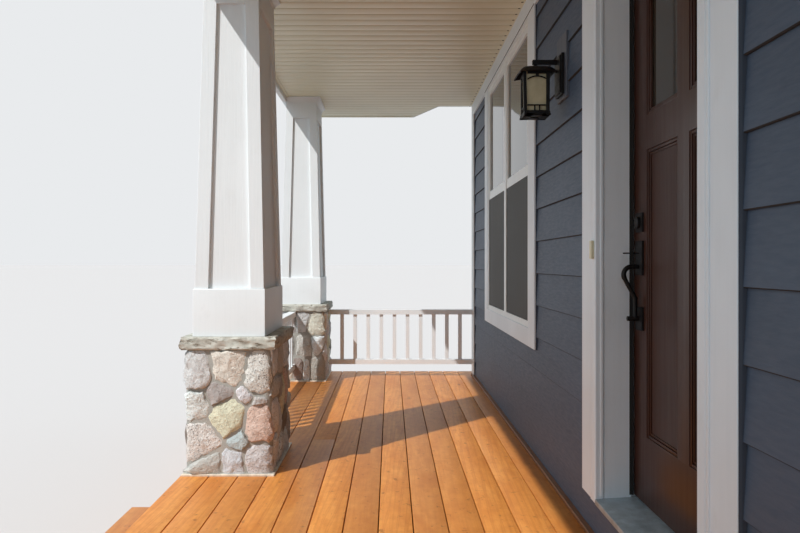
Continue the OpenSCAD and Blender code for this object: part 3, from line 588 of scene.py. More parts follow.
# %% Lay the floor boards
half_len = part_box("deck_floor")[1][0]
deck_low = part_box("deck_floor")[0][2]
deck_depth = wall_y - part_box("deck_floor")[0][1]
HALF_GAP, HALF_BUTT = 0.0022, 0.0015
FIRST_JOINT, ROW_PITCH = 0.1513, 0.1427
joints = [0.0] + [FIRST_JOINT + ROW_PITCH * k for k in range(9)]
front_pitch = (deck_depth - joints[-1]) / 4
joints += [joints[-1] + front_pitch * k for k in (1, 2, 3)] + [deck_depth]
butts = [1.75, None, 1.35, 2.15, None, 1.75, 2.55, 1.35, -0.64, 2.15, None, 1.75, 1.35]
rows = []
for p0, p1, butt in zip(joints, joints[1:], butts):
    p0 += HALF_GAP if p0 > 0 else 0
    p1 -= HALF_GAP if p1 < deck_depth else 0
    cuts = [-half_len, half_len] if butt is None else [-half_len, butt, half_len]
    for a, b in zip(cuts, cuts[1:]):
        rows.append(board(a + (HALF_BUTT if a > -half_len else 0),
                          b - (HALF_BUTT if b < half_len else 0), p0, p1, deck_low, floor_z))
build(rows, "floor_boards", 0.003, cedar_x, "deck_wood", "deck_floor", segments=2)
print("rows", len(butts), "boards", len(rows))

# %% [markdown]
# The skirt, the risers and the treads are the same stained timber. The strip at the wall is that
# timber made darker, as painted shade. Each tread is two boards with a gap between them, so the
# imported treads are replaced. The skirt's end boards run to the wall, so faces that look along
# the porch get the grain along y. The frame under the floor stays as it is and only gets the look
# of framing lumber.

# %% Dress the steps, the skirt and the frame
treads = []
tread_low, tread_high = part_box("step_treads")
HALF_SLOT = 0.002
TREAD_RUN, TREAD_DEEP, TREAD_THICK, SETBACK = 0.24, 0.246, 0.025, 0.006
for k in (1, 2):
    top = floor_z - k * floor_z / 3
    back = deck_depth - SETBACK + (k - 1) * TREAD_RUN
    front = back + TREAD_DEEP
    middle = (back + front) / 2
    for p0, p1 in ((back, middle - HALF_SLOT), (middle + HALF_SLOT, front)):
        treads.append(board(tread_low[0], tread_high[0], p0, p1, top - TREAD_THICK, top))
build(treads, "tread_boards", 0.003, cedar_x, "deck_wood", "step_treads", segments=2)
for node, finish in (("step_risers", cedar_x), ("deck_skirt", cedar_x),
                     ("wall_strip", strip_wood_with_painted_shade)):
    piece = dress(node, 0.002, finish, "deck_wood")
    piece.data.materials.append(cedar_y)
    for f in piece.data.polygons:
        f.material_index = 1 if abs(f.normal.x) > 0.9 else 0
coat(lumber_y, "deck_frame", "step_stringers")
coat(lumber_x, "roof_boards")

# %% [markdown]
# ## Concrete
# Footings and foundation are cast concrete: pale grey, with soft stains and small air holes.
# The imported blocks are plain, so the holes are only drawn: cells of scattered points, dark with
# painted shade and sunk where a point is near.

# %% Finish the concrete
concrete = new_finish("cast_concrete", 0.9, specular=0.3)
pits = tones(cells(42.0), (0.06, 0), (0.12, 1))
stain = tones(cloud(2.2, 6, 0.6), (0.3, hue(140, 138, 132)), (0.7, hue(176, 174, 167)))
# The drawn holes are darker: painted shade.
to_shader(blend(pits, hue(98, 96, 92), stain), relief(pits, 0.002))
coat(concrete, "pier_footings", "foundation")

# %% [markdown]
# ## Fieldstone piers
# Each pier is faced with split fieldstones of mixed size and colour, set in grey mortar that is
# nearly flush. The stones go round the corners. A pier's four faces are unrolled into one long
# band. Points are scattered on the band, and the area nearest to each point is one stone.
# The stone itself is modelled once as a disc with rings, and each copy is pulled to its outline,
# given a rough pillowed face, and wrapped back round the pier.

# %% Model the blank stone
blank_stone = start(bpy.ops.mesh.primitive_circle_add, "blank_stone", vertices=28, radius=1,
                    fill_type='NGON')
bpy.ops.object.mode_set(mode='EDIT')
bpy.ops.mesh.select_mode(type='FACE')
bpy.ops.mesh.select_all(action='SELECT')
for step in (0.045, 0.085, 0.22, 0.28):
    bpy.ops.mesh.inset(thickness=step, use_boundary=True)
bpy.ops.mesh.poke()
bpy.ops.object.mode_set(mode='OBJECT')
print("blank stone faces", len(blank_stone.data.polygons))

# %% [markdown]
# The stones on the faces that the camera sees are listed from the photograph, each as a place
# along the band, a height, a size and the name of its colour.

# %% Place the stones that show
pier_low, pier_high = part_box("stone_piers")
MIDDLE_PIER = -0.193
pier_x, pier_y = 0.642, pier_high[1] - pier_low[1]
pier_h = pier_high[2] - pier_low[2]
pier_mid_y = (pier_low[1] + pier_high[1]) / 2
pier_xs = (pier_low[0] + pier_x / 2, MIDDLE_PIER, pier_high[0] - pier_x / 2)
ROUND = 2 * (pier_x + pier_y)
STONE_HUES = {
    "pale": (228, 230, 229), "cream": (233, 231, 217), "speckled": (229, 227, 224),
    "mauve": (180, 176, 172), "white": (234, 236, 236), "pink": (206, 200, 195),
    "yellow": (226, 223, 200), "salmon": (230, 204, 189), "blue": (196, 207, 211),
    "chalk": (222, 226, 228), "tan": (210, 208, 205), "brown": (152, 142, 132)}
SEEN = [(0.072, 0.520, 0.150, "pale"), (0.236, 0.545, 0.180, "cream"),
        (0.405, 0.510, 0.165, "speckled"), (0.190, 0.418, 0.140, "mauve"),
        (0.322, 0.412, 0.090, "white"), (0.402, 0.372, 0.050, "pink"),
        (0.232, 0.300, 0.175, "yellow"), (0.415, 0.262, 0.180, "salmon"),
        (0.300, 0.182, 0.110, "blue"), (0.262, 0.062, 0.130, "chalk"),
        (0.412, 0.080, 0.170, "tan"), (0.060, 0.355, 0.130, "white"),
        (0.085, 0.180, 0.160, "speckled"), (0.135, 0.055, 0.120, "pink")]
SEEN_FAR = [(0.400, 0.500, 0.160, "cream"), (0.250, 0.530, 0.130, "chalk"),
            (0.120, 0.520, 0.140, "pale"), (0.400, 0.350, 0.130, "chalk"),
            (0.270, 0.330, 0.150, "tan"), (0.100, 0.330, 0.150, "mauve"),
            (0.410, 0.120, 0.140, "mauve"), (0.300, 0.110, 0.090, "white"),
            (0.210, 0.120, 0.110, "brown"), (0.090, 0.110, 0.130, "cream")]


print("stones placed", len(SEEN) + len(SEEN_FAR))

# %% [markdown]
# The other stones are scattered with a fixed seed: out of many tries, the point with the most
# room is kept, so that the stones are of like size.

# %% Scatter the other stones
TRIES = 40


def along_band(u, v):
    """the way from v to u, the shorter way round the pier"""
    return (u - v + ROUND / 2) % ROUND - ROUND / 2


def scatter(seed, fixed, count):
    """points on the unrolled band, as [along, up, size, colour]"""
    pick = random.Random(seed)
    points = [list(p) for p in fixed]
    edge = pier_y if fixed else 0
    while len(points) < count:
        best, gap = None, -1
        for _ in range(TRIES):
            u = edge + 0.07 + pick.random() * (ROUND - edge - 0.12)
            z = 0.05 + pick.random() * (pier_h - 0.10)
            near = min([math.hypot(along_band(u, q[0]), (z - q[1]) * 1.1) - q[2] * 0.3
                        for q in points] or [1])
            if near > gap:
                best, gap = (u, z), near
        points.append([*best, 0.09 + 0.10 * pick.random(), pick.choice(list(STONE_HUES))])
    return points


bands = [scatter(11, SEEN_FAR, 50), scatter(5, SEEN, 52), scatter(23, [], 50)]
print("stones", [len(b) for b in bands])

# %% [markdown]
# In each direction a stone ends at the nearest of the walls between it and its neighbours. A
# high power of all the walls, summed up, gives nearly the nearest one and rounds the corners
# where two walls meet, as a mason's joint does.

# %% Find how far a stone reaches
LONGEST, SHORTEST, FIRMNESS = 0.22, 0.012, 15


def reach(points, i, joint, turn):
    """how far stone i goes in one direction before it meets its neighbours"""
    u, z, size, _ = points[i]
    cu, cz = math.cos(turn), math.sin(turn)
    walls = [(0, 1, pier_h - z + joint / 2), (0, -1, z + joint / 2)]
    for j, (v, w, other, _) in enumerate(points):
        du, dz = along_band(v, u), w - z
        far = math.hypot(du, dz)
        if j != i and far < 0.42:
            walls.append((du / far, dz / far,
                          (far * far + (size * size - other * other) * 0.40) / (2 * far)))
    total = 0
    for nu, nz, d in walls:
        along = nu * cu + nz * cz
        if along > 0.04:
            total += (along / max(d - joint / 2, SHORTEST)) ** FIRMNESS
    return min(total ** (-1 / FIRMNESS), LONGEST)


print("first stone reaches", round(reach(bands[0], 0, 0.01, 0.0), 3))

# %% [markdown]
# Wrapping turns a place on the band into a place on the pier. The corners are rounded by 24 mm,
# so that a stone bends round them instead of folding.

# %% Wrap the band round the pier
CORNER = 0.024


def wrap(u, out):
    """x and y, from the pier's middle, of a place on the band that stands out by out"""
    hx, hy = pier_x / 2 - CORNER, pier_y / 2 - CORNER
    corners = [(hx, -hy), (hx, hy), (-hx, hy), (-hx, -hy)]
    ways = [(0, 1), (-1, 0), (0, -1), (1, 0)]
    u = u % ROUND
    for k, length in enumerate((pier_y, pier_x, pier_y, pier_x)):
        if u > length and k < 3:
            u -= length
            continue
        (x, y), (dx, dy), full = corners[k], ways[k], length - 2 * CORNER
        t = u / length * full
        nx, ny = dy, -dx
        if CORNER <= t <= full - CORNER:
            return x + dx * t + nx * out, y + dy * t + ny * out
        if t < CORNER:
            before = ways[k - 1]
            first, last = (before[1], -before[0]), (nx, ny)
            turn, bend = (1 + t / CORNER) * math.pi / 4, CORNER
        else:
            after = ways[(k + 1) % 4]
            first, last = (nx, ny), (after[1], -after[0])
            turn, bend = (t - full + CORNER) / CORNER * math.pi / 4, full - CORNER
        mx, my = (a * math.cos(turn) + b * math.sin(turn) for a, b in zip(first, last))
        return (x + dx * bend - nx * CORNER + mx * (CORNER + out),
                y + dy * bend - ny * CORNER + my * (CORNER + out))


print("band length", round(ROUND, 3))

# %% [markdown]
# A split stone is not a pebble: its face is a few flat facets that meet in soft ridges, and its
# edge drops off steeply. So each stone gets four tilted planes, and its face is the lowest of
# them, roughened by noise.

# %% Shape one stone
SPOTTED = {"speckled": 1.0, "white": 0.5, "tan": 0.6, "salmon": 0.5}
LEAST_FACE, MOST_FACE = 0.016, 0.031


def tint(piece, colour, spots):
    """a stone's own colour, and how spotted it is, on its points"""
    layer = piece.data.attributes.new("stone_hue", 'FLOAT_COLOR', 'POINT')
    layer.data.foreach_set("color", list(colour) * len(piece.data.vertices))
    layer = piece.data.attributes.new("stone_spots", 'FLOAT', 'POINT')
    layer.data.foreach_set("value", [spots] * len(piece.data.vertices))


def set_stone(points, i, centre_x, pick):
    """one stone: the blank pulled to its outline, given facets and wrapped round the pier"""
    u, z, _, colour = points[i]
    stone = copy_of(blank_stone, "stone")
    joint = 0.006 + 0.006 * pick.random()
    proud = 0.023 + 0.006 * pick.random()
    facets = [(proud + 0.006 * pick.random(), pick.uniform(-0.26, 0.26),
               pick.uniform(-0.26, 0.26)) for _ in range(4)]
    spans = {}
    for v in stone.data.vertices:
        r = v.co.xy.length
        turn = math.atan2(v.co.y, v.co.x)
        key = round(turn, 3)
        if key not in spans:
            bump = noise.noise(Vector((math.cos(turn) * 3.1 + i * 7.1, math.sin(turn) * 3.1,
                                       centre_x)))
            spans[key] = reach(points, i, joint, turn) * (1 + 0.20 * bump)
        span = spans[key] * r
        a, b = u + span * math.cos(turn), z + span * math.sin(turn)
        b = min(max(b, 0.003), pier_h - 0.003)
        swell = math.sqrt(max(1 - min(r, 1) ** 11, 0))
        rough = noise.fractal(Vector((a * 26, b * 26, i * 3.7 + centre_x)), 0.7, 2.2, 4)
        face = max(min(h + gu * (a - u) + gz * (b - z) for h, gu, gz in facets), LEAST_FACE)
        x, y = wrap(a, min(-0.003 + (face + 0.0055 * rough) * swell, MOST_FACE))
        v.co = (centre_x + x, pier_mid_y + y, pier_low[2] + b)
    lift = pick.uniform(-8, 8)
    tint(stone, hue(*[c + lift + pick.uniform(-3, 3) for c in STONE_HUES[colour]]),
         SPOTTED.get(colour, 0.25))
    return stone


print("spotted kinds", *SPOTTED)

# %% [markdown]
# Each pier has its own band of stones and its own fixed seed, so that no pier repeats another.
# All stones are one piece in the end, as they are one wall on the real pier.

# %% Set the stones
stones = []
for centre_x, points in zip(pier_xs, bands):
    pick = random.Random(round(centre_x * 100))
    stones += [set_stone(points, i, centre_x, pick) for i in range(len(points))]
pier_stones = join(stones, "pier_stones")
smooth(pier_stones)
print("stones set", len(stones))

# %% [markdown]
# The stone's colour is written on its points. Over it lie soft patches, darker veins, small
# dark flecks and a rough split surface. The mortar is a sandy grey core that comes 8 mm up the
# stones' sides. Its foot and its head run on into the floor and the cap, out of sight.

# %% Finish the stones and the mortar
fieldstone = new_finish("split_fieldstone", 0.85, specular=0.35)
own = written("stone_hue", out=0)
patches = cloud(11, 6, 0.65, 0.6)
body = blend(tones(patches, (0.30, 0), (0.72, 1)),
             blend(1.0, own, (0.85, 0.84, 0.83, 1), 'MULTIPLY'),
             blend(1.0, own, (1.14, 1.14, 1.15, 1), 'MULTIPLY'))
veins = tones(cloud(7.0, 5.0, 0.5, 2.5), (0.485, 0), (0.5, 0.30), (0.515, 0))
body = blend(veins, body, hue(96, 84, 76))
flecks = cloud(120, 3, 0.7)
fleck_line = reckon('MULTIPLY', tones(flecks, (0.56, 0), (0.66, 1)), written("stone_spots"))
body = blend(fleck_line, body, hue(84, 74, 70))
broken = reckon('ADD', patches, cloud(34, 9, 0.72, 0.5))
to_shader(body, relief(reckon('ADD', broken, reckon('MULTIPLY', flecks, 0.25)), 0.016))
settle(pier_stones, fieldstone, "fieldstone", "stone_piers")

mortar = new_finish("sandy_mortar", 0.95, specular=0.2)
sand = cloud(180, 3, 0.7)
damp = tones(cloud(5, 4, 0.6), (0.3, hue(158, 157, 150)), (0.7, hue(186, 184, 177)))
to_shader(over(damp, hue(130, 126, 118), sand, 0.4, 0.7, 0.5), relief(sand, 0.002))


def pier_blocks(inset, z0, z1):
    """one block for each pier, set back from its faces"""
    return [board(x - pier_x / 2 + inset, x + pier_x / 2 - inset,
                  wall_y - pier_high[1] + inset, wall_y - pier_low[1] - inset, z0, z1)
            for x in pier_xs]


FLUSH, BELOW, ABOVE = 0.0165, 0.020, 0.036
build(pier_blocks(FLUSH, pier_low[2] - BELOW, pier_high[2] + ABOVE), "pier_mortar", 0.035,
      mortar, "fieldstone", "stone_piers", segments=5)
build(pier_blocks(0.001, floor_z, floor_z + 0.011), "pier_base_flashing", 0.001,
      flashing_metal, "fieldstone", "stone_piers")

# %% [markdown]
# ## Pier caps
# A cap is a slab of limestone with a sawn top and bottom and split edges. The slab's sides are
# cut into small pieces, and these are pushed in and out by noise, with chips along both rims.

# %% Split the edges of the caps
cap_low, cap_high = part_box("pier_caps")
CAP_LIP = 0.026
SIDE, RIM = 0.499, 0.46
slabs = []
for x in pier_xs:
    slab = start(bpy.ops.mesh.primitive_cube_add, "cap", size=1)
    for level, cuts in ((True, 41), (False, 7)):
        bpy.ops.object.mode_set(mode='EDIT')
        bpy.ops.mesh.select_mode(type='EDGE')
        bpy.ops.mesh.select_all(action='DESELECT')
        bpy.ops.object.mode_set(mode='OBJECT')
        points = slab.data.vertices
        for e in slab.data.edges:
            e.select = (abs(points[e.vertices[0]].co.z - points[e.vertices[1]].co.z)
                        < 0.001) == level
        bpy.ops.object.mode_set(mode='EDIT')
        bpy.ops.mesh.subdivide(number_cuts=cuts)
        bpy.ops.object.mode_set(mode='OBJECT')
    for v in slab.data.vertices:
        px, py = x + v.co.x * (pier_x + CAP_LIP), pier_mid_y + v.co.y * (pier_y + CAP_LIP)
        pz = v.co.z
        if max(abs(v.co.x), abs(v.co.y)) > SIDE:
            bite = noise.fractal(Vector((px * 17, py * 17, pz * 2.1 + x)), 0.7, 2.2, 5)
            rim = noise.fractal(Vector((px * 23, py * 23, x + 9 + (pz > 0) * 5)), 0.9, 2.2, 3)
            chip = max(0.007 + 0.009 * bite + (0.006 if abs(pz) > RIM else 0), 0)
            pz -= pz * max(0.07 + 0.12 * rim, 0)
            if abs(v.co.x) > SIDE:
                px -= math.copysign(chip, v.co.x)
            if abs(v.co.y) > SIDE:
                py -= math.copysign(chip, v.co.y)
        v.co = (px, py, cap_low[2] + (pz + 0.5) * (cap_high[2] - cap_low[2]))
    slabs.append(slab)
rough_caps = join(slabs, "limestone_caps")
smooth(rough_caps, 40)
print("caps", len(slabs))

# %% [markdown]
# Limestone breaks in beds, so the noise is squeezed in height. Where it is low, the stone is
# pitted and darker, with dirt and painted shade in the pits.

# %% Finish the caps
limestone = new_finish("split_limestone", 0.85, specular=0.3)
bed = cloud(1.0, 7, 0.66, spot=place_on((14, 14, 17)))
pit_line = tones(cloud(1.0, 7, 0.72, spot=place_on((20, 20, 62))), (0.36, 0), (0.44, 1))
cap_tone = tones(bed, (0.30, hue(142, 139, 128)), (0.5, hue(190, 188, 177)),
                 (0.72, hue(212, 211, 202)))
# Darker where the pits are: dirt and painted shade.
to_shader(blend(pit_line, hue(122, 112, 96), cap_tone),
          relief(reckon('ADD', bed, reckon('MULTIPLY', pit_line, 0.35)), 0.004))
settle(rough_caps, limestone, "limestone", "pier_caps")

# %% [markdown]
# ## Columns, railings and trim
# These are right as imported. Each gets its triangles merged and its edges rounded by 1 to 4 mm,
# so that they catch the light, and then white paint with the grain along the board.

# %% Round the columns, the railings and the trim
for node, finish, width in (
        ("column_shafts", white_rough, 0.0015), ("column_plinths", white_upright, 0.0015),
        ("column_capitals", white_x, 0.001), ("front_railing", white_x, 0.002),
        ("far_railing", white_y, 0.002), ("near_railing", white_y, 0.002),
        ("front_fascia", white_x, 0.002), ("roof_ends", white_y, 0.001),
        ("corner_boards", white_upright, 0.002), ("frieze_board", trim_x_painted_light, 0.002),
        ("window_casings", trim_upright_painted_light, 0.002), ("door_casings", trim_upright_painted_light, 0.002),
        ("door_brickmould", trim_upright_painted_light, 0.004), ("door_jambs", trim_upright_painted_light, 0.0015)):
    dress(node, width, finish, "white_paint")
for node in ("window_frames", "window_sashes"):
    dress(node, 0.0015, vinyl_white, "window_white")

# %% [markdown]
# ## Lap siding
# Boards show 175 mm each and lap over the one below: the foot of each stands 19 mm off the wall,
# and its head runs back under the next. A course is cut where it meets a casing, the door or the
# porch floor. The blank has one ring of points near its foot, which makes the worn lower edge.
# The faces that look down, under a board's foot and on its worn lower edge, get a dark finish,
# which is painted shade.

# %% Model a course of siding
EXPOSURE, FOOT_OUT, HEAD_BACK, WORN = 0.175, 0.019, 0.010, 0.0028
FIRST_FOOT = 0.1425
siding = []
blank_lap = start(bpy.ops.mesh.primitive_cube_add, "blank_lap", size=1)
bpy.ops.object.mode_set(mode='EDIT')
bpy.ops.mesh.select_all(action='SELECT')
bpy.ops.mesh.bisect(plane_co=(0, 0, 0), plane_no=(0, 0, 1))
bpy.ops.object.mode_set(mode='OBJECT')


def lap_course(x0, x1, z0, z1, foot):
    """one course between two x, cut to the heights z0 to z1 where its foot is at foot"""
    low, high = max(foot, z0), min(foot + EXPOSURE, z1)
    if high - low < 0.006:
        return
    worn = WORN if low == foot else 0.0
    piece = copy_of(blank_lap, "lap")
    for v in piece.data.vertices:
        at = (v.co.z > -0.4) + (v.co.z > 0.4)
        z = (low, low + max(worn, 0.001), high)[at]
        face = FOOT_OUT - HEAD_BACK * (z - foot) / EXPOSURE - (worn if at == 0 else 0)
        v.co = (x1 if v.co.x > 0 else x0, away(face if v.co.y < 0 else 0), z)
    mark(piece, random.random())
    siding.append(piece)


def lap_run(z0, z1, *stretches):
    """all courses between two heights, along each stretch from one x to another"""
    for x0, x1 in stretches:
        foot = floor_z + FIRST_FOOT - EXPOSURE
        while foot < z1:
            if foot + EXPOSURE > z0:
                lap_course(x0 + 0.002, x1 - 0.002, z0, z1, foot)
            foot += EXPOSURE


print("blank course faces", len(blank_lap.data.polygons))

# %% [markdown]
# The wall is hung from the strip at the floor up to the frieze board, in four bands of height:
# under the door casings' foot, under the window, beside the window, and over the door. The
# piece of wall over the roof has its own courses. Each stretch keeps 2 mm from what it meets.

# %% Hang the siding
case_low, case_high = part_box("window_casings")
door_low, door_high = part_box("door_casings")
frieze_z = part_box("frieze_board")[0][2]
wall_low, wall_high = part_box("house_wall")
CORNER_BOARD = 0.124
corner_x = -wall_low[0] - CORNER_BOARD
strip_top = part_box("wall_strip")[1][2] + 0.001
roof_low, roof_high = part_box("shingles")
levels = [strip_top, door_low[2] - 0.003, case_low[2] - 0.003, door_high[2] + 0.003, frieze_z]
far_end, near_end = (-corner_x, case_low[0]), (door_high[0], corner_x)
for z0, z1, stretches in zip(levels, levels[1:], (
        [(-corner_x, corner_x)], [(-corner_x, door_low[0]), near_end],
        [far_end, (case_high[0], door_low[0]), near_end], [far_end, (case_high[0], corner_x)])):
    lap_run(z0, z1, *stretches)
lap_run(roof_high[2] + 0.02, wall_high[2], (wall_low[0] - 0.002, wall_high[0] + 0.002))
lap_siding = settle(join(siding, "lap_siding"), siding_blue, "blue_siding")
# Faces that look down get a dark finish: painted shade under each lap.
lap_siding.data.materials.append(
    painted("painted_shade_under_siding", hue(42, 38, 38), "x", 0.9, 0.0003, 60))
for f in lap_siding.data.polygons:
    f.material_index = 1 if f.normal.z < -0.4 else 0
print("courses", len(siding))

# %% [markdown]
# A bead of caulk in the siding's colour closes the joint beside every casing and corner board.
# It covers the casing's edge, which is why that edge looks dark from the end of the porch.

# %% Run the caulk
caulk = painted("siding_caulk", hue(56, 64, 77), "z", 0.7, 0.0003, 40)
CAULK_OVER, CAULK_OUT = 0.001, 0.005
beads_of_caulk = []
for x, side, low in ((-corner_x, 1, strip_top), (case_low[0], -1, case_low[2]),
                     (case_high[0], 1, case_low[2]), (door_low[0], -1, door_low[2]),
                     (door_high[0], 1, door_low[2]), (corner_x, -1, strip_top)):
    beside_door = x in (door_low[0], door_high[0])
    top, thick = (door_high[2], 0.0285) if beside_door else (frieze_z, 0.0215)
    outer = x + side * CAULK_OUT
    bead = board(*sorted((x - side * CAULK_OVER, outer)), 0.0, thick, low, top - 0.001)
    for v in bead.data.vertices:
        if abs(v.co.x - outer) < 1e-4 and v.co.y < away(0.02):
            v.co.y = away(0.0205)
    beads_of_caulk.append(bead)
build(beads_of_caulk, "casing_caulk", 0.001, caulk, "blue_siding")

# %% [markdown]
# The wall behind the boards keeps its imported shape. From the back it shows the same siding, as
# flat boards drawn by the material, with a painted shadow under each lap, because nobody looks at
# it from close by.

# %% Finish the wall and the lantern's block
plain_wall = painted("siding_on_the_back", SIDING, "x", 0.55, 0.0007, 110, 0.05, long=7)
height = add('ShaderNodeSeparateXYZ', {0: place_on()}, out=2)
lap = reckon('FRACT', reckon('DIVIDE', height, EXPOSURE))
# Each lap darkens towards its top, with a dark band under the next lap's foot: painted shadow.
lap_shade = tones(lap, (0.0, 1), (0.93, 0.86), (0.965, 0.12), (1.0, 0.2))
flat_paint = plain_wall.node_tree.nodes["Principled BSDF"].inputs["Base Color"].links[0]
to_shader(blend(1.0, flat_paint.from_socket, lap_shade, 'MULTIPLY'), relief(lap_shade, 0.012))
coat(plain_wall, "house_wall", "wall_at_window", "wall_at_door")
block_blue = painted("block_blue", hue(80, 86, 98), "z", 0.5, 0.0003, 60, 0.04)
dress("lantern_block", 0.002, block_blue, "blue_siding")

# %% [markdown]
# ## Ceiling
# The ceiling is cream vinyl in panels with a groove every 102 mm, running from the wall to the
# eave. One strip is a board, and its long lower edges are rounded back to make the groove. At
# the ends of the porch the strips follow the slanting cut of the roof.

# %% Panel the ceiling
ceil_low, ceil_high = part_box("porch_ceiling")
ceil_z = ceil_low[2]
eave_p = wall_y - ceil_low[1]
PITCH, HALF_GROOVE = 0.1025, 0.0028
CUT_START, CUT_END = 0.347, 0.572
VERGE = 0.073
verge_x = -wall_low[0] + VERGE
inner_x = verge_x - 0.019


def panel_start(x):
    """how far from the wall the ceiling starts, at a given x"""
    past = (abs(x) - inner_x) / (ceil_high[0] - inner_x)
    return 0 if past <= 0 else CUT_START + (CUT_END - CUT_START) * past


strips = []
x = ceil_low[0]
while x < ceil_high[0] - 0.01:
    end = min(x + PITCH, ceil_high[0])
    strip = board(x + HALF_GROOVE, end - HALF_GROOVE, 0.0, eave_p, ceil_z, ceil_z + 0.008)
    for v in strip.data.vertices:
        if v.co.y > away(0.5):
            v.co.y = away(panel_start(v.co.x))
    strips.append(strip)
    x = end
build(strips, "ceiling_panels", 0.0045, vinyl_cream, "soffit_vinyl", "porch_ceiling",
      segments=2)

# %% [markdown]
# Over the strips lies the imported ceiling, lifted a little and darker as painted shade in the
# grooves, so that it closes the grooves from above. Thin trim drops along the wall, along the eave
# and at both ends.

# %% Close the grooves and fit the edge trim
backing = eased_copy("porch_ceiling", 0.0005, name="ceiling_backing")
for v in backing.data.vertices:
    if v.co.z < ceil_z + 0.006:
        v.co.z = ceil_z + 0.0075
settle(backing, painted("shaded_groove", hue(128, 116, 94), "y", 0.8, 0.0001, 40),
       "soffit_vinyl", "porch_ceiling")
TRIM_WIDE, TRIM_DROP = 0.026, 0.004
inside_p = eave_p - TRIM_WIDE
edge_trim = [board(wall_low[0], wall_high[0], 0.030, 0.037, ceil_z - 0.003, ceil_z),
             board(ceil_low[0], ceil_high[0], inside_p, eave_p, ceil_z - TRIM_DROP, ceil_z)]
for s in (-1, 1):
    ends = sorted((s * ceil_high[0], s * (ceil_high[0] - TRIM_WIDE)))
    edge_trim.append(board(*ends, CUT_END + 0.02, inside_p, ceil_z - TRIM_DROP, ceil_z))
build(edge_trim, "ceiling_edge_trim", 0.001, vinyl_cream, "soffit_vinyl", "porch_ceiling")

# %% [markdown]
# Beside the wall each groove ends in a small open hole, and a narrow gap runs under the frieze
# board above the window. Both get thin dark boards as painted shade, and they draw the edge of
# the ceiling.

# %% Mark the open groove ends and the gap under the frieze
# Thin dark boards in the groove ends and the gap under the frieze: painted shade.
hollow = painted("painted_shade_in_hollows", hue(62, 54, 42), "x", 0.9, 0.0001, 40)
hollows = []
for k in range(5, 69):
    x = ceil_low[0] + PITCH * k
    hollows.append(board(x - 0.006, x + 0.006, 0.037, 0.050, ceil_z - 0.0006, ceil_z + 0.002))
hollows.append(board(case_low[0], case_high[0], 0.0299, 0.0306, frieze_z, frieze_z + 0.006))
settle(join(hollows, "groove_ends"), hollow, "soffit_vinyl")
print("ceiling strips", len(strips))

# %% [markdown]
# ## Shingles
# The roof is covered with laminated shingles: courses 127 mm apart, each with a base layer and
# thicker tabs of random width on it. Every tab has its own brown, tan or grey. The courses
# follow the roof's slope and are trimmed to its outline.

# %% Shape a shingle to the roof
roof_out = wall_y - roof_low[1]
SLOPE = 0.333
TILT = math.sqrt(1 + SLOPE ** 2)
boards_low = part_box("roof_boards")[0]
boards_out = wall_y - boards_low[1]
boards_top = boards_low[2] + 0.020 * TILT


def roof_height(p, lift):
    """the height of a place p from the wall that lies lift above the roof boards"""
    return boards_top + SLOPE * (boards_out - p) + lift * TILT


def roof_edge(p):
    """half the roof's length at a distance p from the wall"""
    wide, narrow = roof_high[0], verge_x + 0.015
    if p >= CUT_END:
        return wide
    if p <= CUT_START:
        return narrow
    return narrow + (wide - narrow) * (p - CUT_START) / (CUT_END - CUT_START)


def shingle(x0, x1, p_foot, p_head, foot_t, head_t, value):
    """one tab, thicker at its foot, cut to the roof's outline"""
    piece = board(x0, x1, p_head, p_foot, 0, 1, value)
    for v in piece.data.vertices:
        p = wall_y - v.co.y
        thick = foot_t if p > (p_head + p_foot) / 2 else head_t
        edge = roof_edge(p)
        v.co.x = min(max(v.co.x, -edge), edge)
        v.co.z = roof_height(p, thick if v.co.z > 0.5 else 0.0004)
    return piece


print("roof slopes over", round(roof_out, 3))

# %% [markdown]
# The courses are laid from the eave up, as a roofer lays them. Chance decides where a thick
# tab goes and how wide it is. A texture would look flat at the verge, so each tab is a board.

# %% Lay the shingles
tabs = []
lay = random.Random(31)
exposure = 0.127 / TILT
THICK_TABS, NARROWEST, WIDEST = 0.62, 0.09, 0.24
p_foot = roof_out
while p_foot > 0.02:
    edge = roof_edge(p_foot)
    tabs.append(shingle(-edge, edge, p_foot, max(p_foot - exposure - 0.02, 0), 0.0075, 0.003,
                        lay.random()))
    x = -edge - lay.random() * 0.2
    while x < edge:
        w = lay.uniform(NARROWEST, WIDEST)
        if lay.random() < THICK_TABS and x + w > -edge + 0.01:
            tabs.append(shingle(max(x, -edge), min(x + w, edge), p_foot - 0.001,
                                max(p_foot - exposure, 0), 0.0118, 0.0085, lay.random()))
        x += w
    p_foot -= exposure
roof_shingles = join(tabs, "roof_shingles")
only(roof_shingles)
bpy.ops.object.shade_flat()
granules = new_finish("shingle_granules", 0.95, specular=0.25)
base = tones(written("board"), (0.0, hue(112, 92, 80)), (0.22, hue(150, 124, 106)),
             (0.45, hue(128, 110, 100)), (0.68, hue(166, 138, 118)), (0.85, hue(118, 110, 106)),
             (1.0, hue(140, 114, 98)))
base = over(base, hue(96, 82, 74), cloud(6, 4, 0.6), 0.3, 0.8, 0.4)
grit = cloud(420, 2, 0.7)
base = blend(tones(grit, (0.35, 0.45), (0.6, 0)), base, hue(70, 60, 54))
to_shader(base, relief(grit, 0.0012))
settle(roof_shingles, granules, "asphalt_shingle", "shingles")
print("shingle tabs", len(tabs))

# %% [markdown]
# ## Window panes and screens
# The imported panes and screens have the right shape, so they only get their finish: dark glass
# above, and the weave of the screens over the two lower sashes.

# %% Finish the panes and the screens
coat(pane_dark, "window_glass")
coat(insect_screen, "window_screens")
coat(door_pane, "door_lights")

# %% [markdown]
# ## Door
# The leaf is dark red-brown with two long panels under two lights. Round each opening runs a
# moulding with a rounded edge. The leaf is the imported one, and each moulding is four thin
# boards inside the opening, rounded together.

